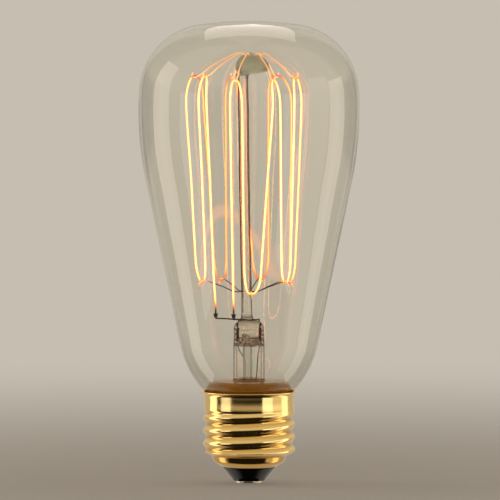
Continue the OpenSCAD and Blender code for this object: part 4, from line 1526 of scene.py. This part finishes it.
@dataclass
class Bulb:
    """The blown envelope: crown, shoulder, side, throat and neck, each an arc."""

    width: float = 63
    widest_drop: float = 25.2
    crown_radius: float = 100
    shoulder_radius: float = 20.2
    side_radius: float = 100
    throat_radius: float = 27
    neck_fillet: float = 2
    neck_r: float = 11.605
    neck_top: float = CAP_H - 2.1
    neck_end: float = CAP_H - 4.6
    throat_angle: float = 45
    wall: float = 0.8
    ripple: float = 0.05
    skin: float = 0.02
    columns: int = 192

    def centres(self) -> dict[str, np.ndarray]:
        """Centres of the arcs as radius and height. Neighbouring arcs are tangent.

        The shoulder's centre is where two circles cross: one round the crown's centre with radius
        crown - shoulder, and one round the side's centre with radius side - shoulder.

        Returns:
            The centres, by the name of the arc.
        """
        crown = np.array([0, LAMP_H - self.crown_radius])
        side = np.array([self.width / 2 - self.side_radius, LAMP_H - self.widest_drop])
        r1 = self.crown_radius - self.shoulder_radius
        r2 = self.side_radius - self.shoulder_radius
        span = side - crown
        d = np.linalg.norm(span)
        u = span / d
        along = (r1 * r1 - r2 * r2 + d * d) / (2 * d)
        shoulder = crown + u * along + np.array([u[1], -u[0]]) * math.sqrt(r1 * r1 - along * along)
        a = math.radians(self.throat_angle)
        neck = np.array([self.neck_r + self.neck_fillet, self.neck_top])
        slope = np.array([math.cos(a), -math.sin(a)])
        throat = neck - (self.neck_fillet + self.throat_radius) * slope
        return {"crown": crown, "side": side, "shoulder": shoulder, "throat": throat}

    def line(self, inset: float) -> np.ndarray:
        """The outline moved in by a distance, from the crown down to the end of the neck.

        Args:
            inset: Distance inside the outer face.

        Returns:
            Radius and height of each point.
        """
        c = self.centres()
        crown_end = direction(c["shoulder"] - c["crown"])
        shoulder_end = direction(c["shoulder"] - c["side"])
        run = c["side"] - c["throat"]
        reach = (self.throat_radius - self.side_radius) / np.linalg.norm(run)
        taper = math.degrees(math.acos(reach)) - direction(run)
        neck = [self.neck_r + self.neck_fillet, self.neck_top]
        return np.concatenate(
            [
                arc(c["crown"], self.crown_radius - inset, 89.7, crown_end, 26),
                arc(c["shoulder"], self.shoulder_radius - inset, crown_end, shoulder_end, 34)[1:],
                arc(c["side"], self.side_radius - inset, shoulder_end, -taper, 44)[1:],
                arc(c["throat"], self.throat_radius - inset, -taper, -self.throat_angle, 22)[1:],
                arc(neck, self.neck_fillet + inset, 180 - self.throat_angle, 180, 10)[1:],
                [[self.neck_r - inset, mix(self.neck_top, self.neck_end, t)] for t in (0.5, 1)],
            ]
        )

    def build(self) -> None:
        """Makes both faces of the wall as one closed surface.

        Each face is moved inwards by ripple (0.5 + 0.5 sin(k a + m z + ...)), as blown glass is
        never quite even. The ripple fades out towards the neck and the crown.
        """
        outer, inner = self.line(self.skin), self.line(self.wall)[::-1]
        profile = np.concatenate([outer, inner])
        grid = lathe(profile, self.columns)
        a = circle(self.columns)
        z = profile[:, 1:]
        share = ease((z - 34) / 20) * ease((130.5 - z) / 8)
        outside = 0.5 + 0.5 * np.sin(3 * a + 0.11 * z + 0.8 * np.sin(2 * a))
        inside = 0.5 + 0.5 * np.sin(2 * a - 0.16 * z + 1.1 * np.sin(3 * a + 1))
        is_inner = (np.arange(len(profile)) >= len(outer))[:, None]
        dent = self.ripple * share * np.where(is_inner, inside, outside)
        grid[..., :2] *= 1 - (dent / profile[:, :1])[..., None]
        piece = surface("bulb_blown", grid, poles=True)
        place(piece, BULB_GLASS, "glass_envelope", shadow=False)


@dataclass
class Cap:
    """The screw cap: shell, cement, insulator, contact and solder."""

    crest_r: float = 13.175
    pitch: float = 3.63
    depth: float = 0.95
    collar_h: float = 5
    collar_step: float = 0.27
    waist: float = 0.09
    rim_reach: float = 0.95
    wall: float = 0.35
    mouth_r: float = 7.7
    mouth_z: float = 4.8
    bowl_h: float = 3.2
    bowl_slope: float = 1.65
    bowl_share: float = 0.68
    bowl_rise: float = 0.09
    soft: float = 0.5
    thread_start: float = 4.89
    fade_share: float = 0.45
    run_out: float = 2
    unshaded_h: float = 0.25
    moulding_gap: float = 0.05
    columns: int = 264

    def bowl_r(self, z: Any) -> Any:
        """Radius of the bowl: the softened lesser of two straight sides.

        Args:
            z: Heights.

        Returns:
            The radii.
        """
        root = self.crest_r - self.depth
        top = mix(self.mouth_r, root, self.bowl_share)
        low = self.mouth_r + self.bowl_slope * (z - self.mouth_z)
        high = top + self.bowl_rise * (root - self.mouth_r) * (z - self.mouth_z - self.bowl_h)
        return self.lesser(low, high)

    def lesser(self, a: Any, b: Any) -> Any:
        """The lesser of a and b, less h^2 soft / 4 with h = 1 - |a - b| / soft where positive."""
        h = np.maximum(self.soft - np.abs(a - b), 0) / self.soft
        return np.minimum(a, b) - h * h * self.soft / 4

    def shell_r(self, z: np.ndarray, a: np.ndarray) -> np.ndarray:
        """Radius of the shell's outer face at heights z and angles a.

        The thread is mean + depth / 2 cos(2 pi (z - start) / pitch - a). It fades into the collar
        over 0.45 of a pitch, and runs out over the bowl on a slope of 2.

        Args:
            z: Heights.
            a: Angles in radians, from +X.

        Returns:
            The radii.
        """
        top = CAP_H - self.collar_h
        start = self.mouth_z + self.thread_start
        fade_h = self.fade_share * self.pitch
        fade = ease((z - top + fade_h) / fade_h)
        wave = np.cos(2 * np.pi * (z - start) / self.pitch - a)
        thread = self.crest_r - self.depth / 2 + self.depth / 2 * wave
        thread = mix(thread, self.crest_r - self.collar_step, fade)
        bowl_top = self.mouth_z + self.bowl_h
        run_out = self.bowl_r(bowl_top) + self.run_out * (z - bowl_top)
        return self.lesser(thread, np.maximum(self.bowl_r(z), run_out))

    def build_shell(self) -> None:
        """Makes the shell as one closed surface: up the outer face, over the rim and down inside.

        The rim curls out on a quarter of an oval that rises by rim_reach, and ends in a rounded
        edge.
        The collar is drawn in by waist sin(pi t)^2, with t from 0 at its foot to 1 at the rim.
        """
        a = circle(self.columns)
        top = CAP_H - self.collar_h
        collar_r = self.crest_r - self.collar_step
        edge = self.wall / 2
        rim_z = CAP_H - self.rim_reach - self.wall
        reach = self.rim_reach - edge
        bowl_top = self.mouth_z + self.bowl_h
        bowl = np.linspace(self.mouth_z, bowl_top, 22)
        collar = np.linspace(top, rim_z, 14)[1:-1]
        up = np.concatenate([bowl, np.linspace(bowl_top, top, 94)[1:], collar])
        down = np.concatenate([[24.3, 23, 21.9], np.linspace(top, bowl_top, 47), bowl[-2::-2]])
        turn = np.radians(np.linspace(0, 90, 12))
        bead = np.radians(np.linspace(-75, 75, 6))
        out, back = collar_r + reach, turn[::-1]
        curl_r = [
            out - reach * np.cos(turn),
            out + edge * np.cos(bead),
            out - (reach + self.wall) * np.cos(back),
        ]
        curl_z = [
            rim_z + self.rim_reach * np.sin(turn),
            CAP_H - edge + edge * np.sin(bead),
            rim_z + (self.rim_reach + self.wall) * np.sin(back),
        ]
        rise = np.clip((up[:, None] - top) / (rim_z - top), 0, 1)
        outer = self.shell_r(up[:, None], a) - self.waist * np.sin(np.pi * rise) ** 2
        inner = self.shell_r(down[:, None], a) - self.wall
        r = np.concatenate([outer, np.concatenate(curl_r)[:, None] + 0 * a, inner])
        z = np.concatenate([up, *curl_z, down])[:, None] + 0 * a
        # Painted shade in the roots of the thread: none near the crests and on the collar, most in
        # the roots.
        unshaded_r, root_r = self.crest_r - self.unshaded_h, self.crest_r - self.depth
        depth = np.clip((unshaded_r - r) / (unshaded_r - root_r), 0, 1)
        depth[z > top] = 0
        grid = np.stack([r * np.cos(a), r * np.sin(a), z], axis=-1)
        piece = surface("screw_shell_rolled", grid, wrap_rows=True, values={"depth": depth})
        place(piece, SHELL_BRASS, "screw_shell")

    def build_insulator(self) -> None:
        """Makes the black glass insulator, a cone with soft edges and a hole for the eyelet."""
        rest, foot_r = self.mouth_z - GAP, self.mouth_r - self.wall - self.moulding_gap
        knee_z = self.mouth_z + self.bowl_h / 3
        knee_r = float(self.bowl_r(knee_z)) - self.wall - self.moulding_gap
        knots = [
            *arc([4.4, 1.2], 0.4, 270, 330, 6),
            *np.linspace([4.9, 1.35], [7.5, 4.45], 8),
            [7.66, 4.68], [7.6, rest], [foot_r, rest], [foot_r, self.mouth_z], [knee_r, knee_z],
            [knee_r, 6.4], [0.8, 6.4], [0.8, 0.95], [0.95, 0.8],
        ]
        grid = lathe(np.array(knots), 128)
        piece = surface("base_insulator_moulded", grid, wrap_rows=True, sharp=35)
        place(piece, BLACK_GLASS, "base_insulator")

    def build_contact(self) -> None:
        """Makes the pressed contact disc with its eyelet."""
        ring = np.concatenate(
            [
                [[0.45, 0.25], [2.4, 0.25], [2.9, 0.25]],
                arc([3.3, 0.68], 0.42, 270, 290, 4),
                arc([3.55, 0.55], 0.35, 300, 360, 5),
                [[3.9, 0.78], [0.75, 0.78], [0.75, 2.18], [0.45, 2.18]],
            ]
        )
        piece = surface("centre_contact_pressed", lathe(ring, 96), wrap_rows=True, sharp=35)
        place(piece, CONTACT_BRASS, "centre_contact")

    def build_solder(self) -> None:
        """Makes the solder drop under the contact: a flat dome with an uneven edge.

        Its radius at a share s of the way out is 2.28 s (1 + 0.05 sin(3 a + 1) + 0.03 sin(5 a)).
        """
        a = circle(64)
        s = np.concatenate([np.linspace(0.05, 1, 16), np.linspace(0.95, 0.05, 6)])[:, None]
        is_top = (np.arange(len(s)) >= 16)[:, None]
        skin = 0.17 * s**4 + 0.02 * np.sin(7 * s + 3 * a) * s * (1 - s)
        z = np.where(is_top, 0.23, np.clip(skin, 0, 0.2)) + 0 * a
        r = 2.28 * s * (1 + 0.05 * np.sin(3 * a + 1) + 0.03 * np.sin(5 * a))
        piece = surface("centre_solder_drop", around(r, a, z), poles=True)
        place(piece, SOLDER, "centre_solder")

    def dress(self) -> None:
        """Gives the CAD nodes that are shown as they are a better material."""
        for node, finish in (("side_solder", SOLDER), ("base_cement", CEMENT)):
            for material_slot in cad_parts[node].material_slots:
                material_slot.material = shared(finish)
            LOG.info("%s: kept from the CAD, %s", node, finish.name)


# ---------------------------------------------------------------- the studio

WARM_CLOTH = "#FFF4E6"
COOL_CARD = "#F4F8FF"


@dataclass(frozen=True)
class Softbox:
    """An upright softbox that faces the lamp's axis.

    Its azimuth is in degrees from the camera, positive to the right. A radiance of 1 shows as
    white. If lights_matt is False, it only shows in glass and metal.
    """

    name: str
    azimuth: float
    distance: float
    heights: tuple[float, float]
    width: float
    radiance: float
    lights_matt: bool = True
    colour: str = WARM_CLOTH

    def hang(self) -> None:
        """Makes the light."""
        a = math.radians(self.azimuth)
        out = Vector((math.sin(a), -math.cos(a), 0))
        low, high = self.heights
        data = bpy.data.lights.new(self.name, "AREA")
        data.shape = "RECTANGLE"
        data.size, data.size_y = self.width * MM, (high - low) * MM
        data.energy = self.radiance * math.pi * data.size * data.size_y
        data.color = linear(self.colour)[:3]
        lamp = linked(self.name, data)
        lamp.location = (out * self.distance + Vector((0, 0, (low + high) / 2))) * MM
        lamp.rotation_euler = out.to_track_quat("Z", "Y").to_euler()
        lamp.visible_camera = False
        lamp.visible_transmission = False
        lamp.visible_diffuse = self.lights_matt


SOFTBOXES = (
    Softbox("softbox_left", -103, 513, (-500, 430), 240, 1.65),
    Softbox("softbox_right", 103, 513, (-500, 250), 225, 1.6),
    Softbox("softbox_right_dim", 77, 513, (-500, 320), 225, 0.8),
    Softbox("card_left", -61, 450, (-150, 150), 220, 1.25, False, COOL_CARD),
    Softbox("card_right", 49, 450, (-150, 150), 230, 1.5, False, COOL_CARD),
)


@dataclass
class Studio:
    """A pale floor, a pale surround, soft lamps and the camera."""

    pale: str = "#C6BEB1"
    flag: float = 0.12
    camera_distance: float = 1800
    frame_width: float = 142.3
    sensor: float = 36
    elevation: float = 3
    target: tuple[float, float, float] = (0.285, 0, 66.57)
    floor_rings: tuple[float, ...] = (1, 300, 1500, 9000, 40000)
    floor_z: float = -0.02
    floor_even: float = 0.52
    plain_world: float = 0.45
    cloth_rise: float = 500
    cloth_strength: float = 2.0
    cloth: tuple[tuple[float, float], ...] = (
        (-230, 220), (266, 190), (220, 340), (187, 544), (140, 800), (71, 1150), (10, 1900),
        (-48, 1373), (-110, 960), (-154, 725), (-204, 384),
    )

    def camera(self) -> None:
        """Puts the camera in front of the lamp, 3 degrees above its middle."""
        data = bpy.data.cameras.new("camera")
        data.sensor_width = self.sensor
        data.lens = self.sensor * self.camera_distance / self.frame_width
        data.clip_end = 100
        camera = linked("camera", data)
        e = math.radians(self.elevation)
        away = Vector((0, -math.cos(e), math.sin(e)))
        camera.location = (Vector(self.target) + away * self.camera_distance) * MM
        camera.rotation_euler = away.to_track_quat("Z", "Y").to_euler()
        bpy.context.scene.camera = camera

    def sheet(
        self, name: str, points: np.ndarray, faces: list[Any], look: str
    ) -> tuple[bpy.types.Object, Tree]:
        """Makes a flat piece of the studio.

        Args:
            name: Its name.
            points: Its points.
            faces: The points of each face, by number.
            look: Name of its material.

        Returns:
            The piece, and the empty tree of its material.
        """
        mesh = bpy.data.meshes.new(name)
        mesh.from_pydata((points * MM).tolist(), [], faces)
        mesh.materials.append(blank(look))
        return linked(name, mesh), mesh.materials[0].node_tree

    def floor(self) -> None:
        """Lays a pale floor that keeps the lamp's shadow near it and evens out far away."""
        grid = lathe(np.array([[r, self.floor_z] for r in self.floor_rings]), 64)
        index = np.arange(grid[..., 0].size).reshape(grid.shape[:2])
        low, high = index[:-1], index[1:]
        quads = np.stack([low, high, np.roll(high, -1, 1), np.roll(low, -1, 1)], -1)
        faces = [*quads.reshape(-1, 4).tolist(), index[0].tolist()]
        floor, tree = self.sheet("floor", grid.reshape(-1, 3), faces, "floor_matt_pale")
        at = add_node(tree, "TexCoord").outputs["Object"]
        span = {
            "Value": add_node(tree, "VectorMath", {0: at}, operation="LENGTH").outputs["Value"],
            "From Max": self.floor_even,
            "To Min": 0.25,
        }
        far = add_node(tree, "MapRange", span, interpolation_type="SMOOTHSTEP").outputs[0]
        seen, strength = self.seen(tree, at, 0.5)
        matt = add_node(tree, "BsdfDiffuse", {"Color": linear(self.pale)}).outputs[0]
        glow = {"Color": linear(self.pale), "Strength": strength}
        even = add_node(tree, "Emission", glow).outputs[0]
        share = add_node(tree, "Math", {0: seen, 1: far}, operation="MULTIPLY").outputs[0]
        both = add_node(tree, "MixShader", {0: share, 1: matt, 2: even}).outputs[0]
        add_node(tree, "OutputMaterial", {"Surface": both})
        floor.visible_glossy = False

    def seen(self, tree: Tree, at: Socket, clear_of: float) -> tuple[Socket, Socket]:
        """Tells where the stage is looked at, and how bright it is there.

        Looked at straight on it has a strength of 1. Through glass it is darker towards the four
        diagonals, as dark flags between the softboxes would make it, which draws the dark edges
        of clear glass: the strength follows cos(4 a) with a the angle round the lamp.

        Args:
            tree: The tree of the floor or of the surround.
            at: Place on the floor in metres, or direction.
            clear_of: Distance from the lamp up to which nothing is darkened.

        Returns:
            The share of camera and transmission rays, and the strength for them.
        """
        path = add_node(tree, "LightPath").outputs
        camera, through = path["Is Camera Ray"], path["Is Transmission Ray"]
        sides = add_node(tree, "SeparateXYZ", {0: at}).outputs
        a = add_node(tree, "Math", {0: sides["Y"], 1: sides["X"]}, operation="ARCTAN2").outputs[0]
        four = add_node(tree, "Math", {0: a, 1: 4}, operation="MULTIPLY").outputs[0]
        wave = add_node(tree, "Math", {0: four}, operation="COSINE").outputs[0]
        span = {"Value": wave, "From Min": -0.55, "From Max": 0.1, "To Min": self.flag}
        flags = add_node(tree, "MapRange", span).outputs[0]
        length = add_node(tree, "VectorMath", {0: at}, operation="LENGTH").outputs["Value"]
        span = {"Value": length, "From Min": clear_of, "From Max": clear_of + 0.3}
        reach = add_node(tree, "MapRange", span).outputs[0]
        dark = add_node(tree, "Mix", {0: reach, NUMBER_A: 1.0, NUMBER_B: flags}).outputs[0]
        strength = add_node(tree, "Math", {0: camera, 1: dark}, operation="MAXIMUM").outputs[0]
        share = add_node(tree, "Math", {0: camera, 1: through}, operation="MAXIMUM").outputs[0]
        return share, strength

    def surround(self) -> None:
        """Sets the surround: pale where it is seen, and dark in front and below for metal."""
        world = bpy.data.worlds.new("surround")
        bpy.context.scene.world = world
        world.use_nodes = True
        tree = world.node_tree
        tree.nodes.clear()
        way = add_node(tree, "TexCoord").outputs["Generated"]
        seen, shown = self.seen(tree, way, 0)
        sides = add_node(tree, "SeparateXYZ", {0: way}).outputs
        span = {"Value": sides["Y"], "From Max": 0.25, "To Max": 1.05}
        back = add_node(tree, "MapRange", span).outputs[0]
        span = {"Value": sides["Z"], "From Min": -0.25, "From Max": 0.3}
        span |= {"To Min": 0.03, "To Max": 1.35}
        front = add_node(tree, "MapRange", span, interpolation_type="SMOOTHSTEP").outputs[0]
        mirrored = add_node(tree, "Math", {0: back, 1: front}, operation="MAXIMUM").outputs[0]
        glossy = add_node(tree, "LightPath").outputs["Is Glossy Ray"]
        lights = {0: glossy, NUMBER_A: self.plain_world, NUMBER_B: mirrored}
        lit = add_node(tree, "Mix", lights).outputs[0]
        strength = add_node(tree, "Mix", {0: seen, NUMBER_A: lit, NUMBER_B: shown}).outputs[0]
        glow = {"Color": linear(self.pale), "Strength": strength}
        background = add_node(tree, "Background", glow).outputs[0]
        add_node(tree, "OutputWorld", {"Surface": background})

    def overhead(self) -> None:
        """Hangs a flat lit cloth over and behind the lamp, which shows as the bar in its crown.

        It narrows from 480 mm wide in front to a point far back.
        """
        points = np.array([[x, y, LAMP_H + self.cloth_rise] for x, y in self.cloth])
        faces = [list(range(len(points)))]
        cloth, tree = self.sheet("cloth_above", points, faces, "cloth_lit")
        glow = {"Color": linear(WARM_CLOTH), "Strength": self.cloth_strength}
        add_node(tree, "OutputMaterial", {"Surface": add_node(tree, "Emission", glow).outputs[0]})
        cloth.visible_camera = False
        cloth.visible_diffuse = False
        cloth.visible_transmission = False
        cloth.visible_shadow = False

    def build(self) -> None:
        """Sets the whole studio up."""
        bpy.context.scene.view_settings.view_transform = "Standard"
        self.camera()
        self.floor()
        self.surround()
        for softbox in SOFTBOXES:
            softbox.hang()
        self.overhead()


def main() -> None:
    """Builds the lamp from the inside out, then the studio."""
    logging.basicConfig(level=logging.INFO, format="%(message)s")
    cage = Cage()
    filament = Filament(cage)
    filament.build()
    filament.build_clamps()
    mount = Mount(cage)
    mount.build_arbor()
    mount.build_button()
    mount.build_hooks()
    stem = Stem()
    stem.build_flare()
    stem.build_press()
    stem.build_exhaust()
    stem.build_seals()
    Leads(filament).build()
    Bulb().build()
    cap = Cap()
    cap.build_shell()
    cap.build_insulator()
    cap.build_contact()
    cap.build_solder()
    cap.dress()
    Studio().build()


if __name__ == "__main__":
    main()
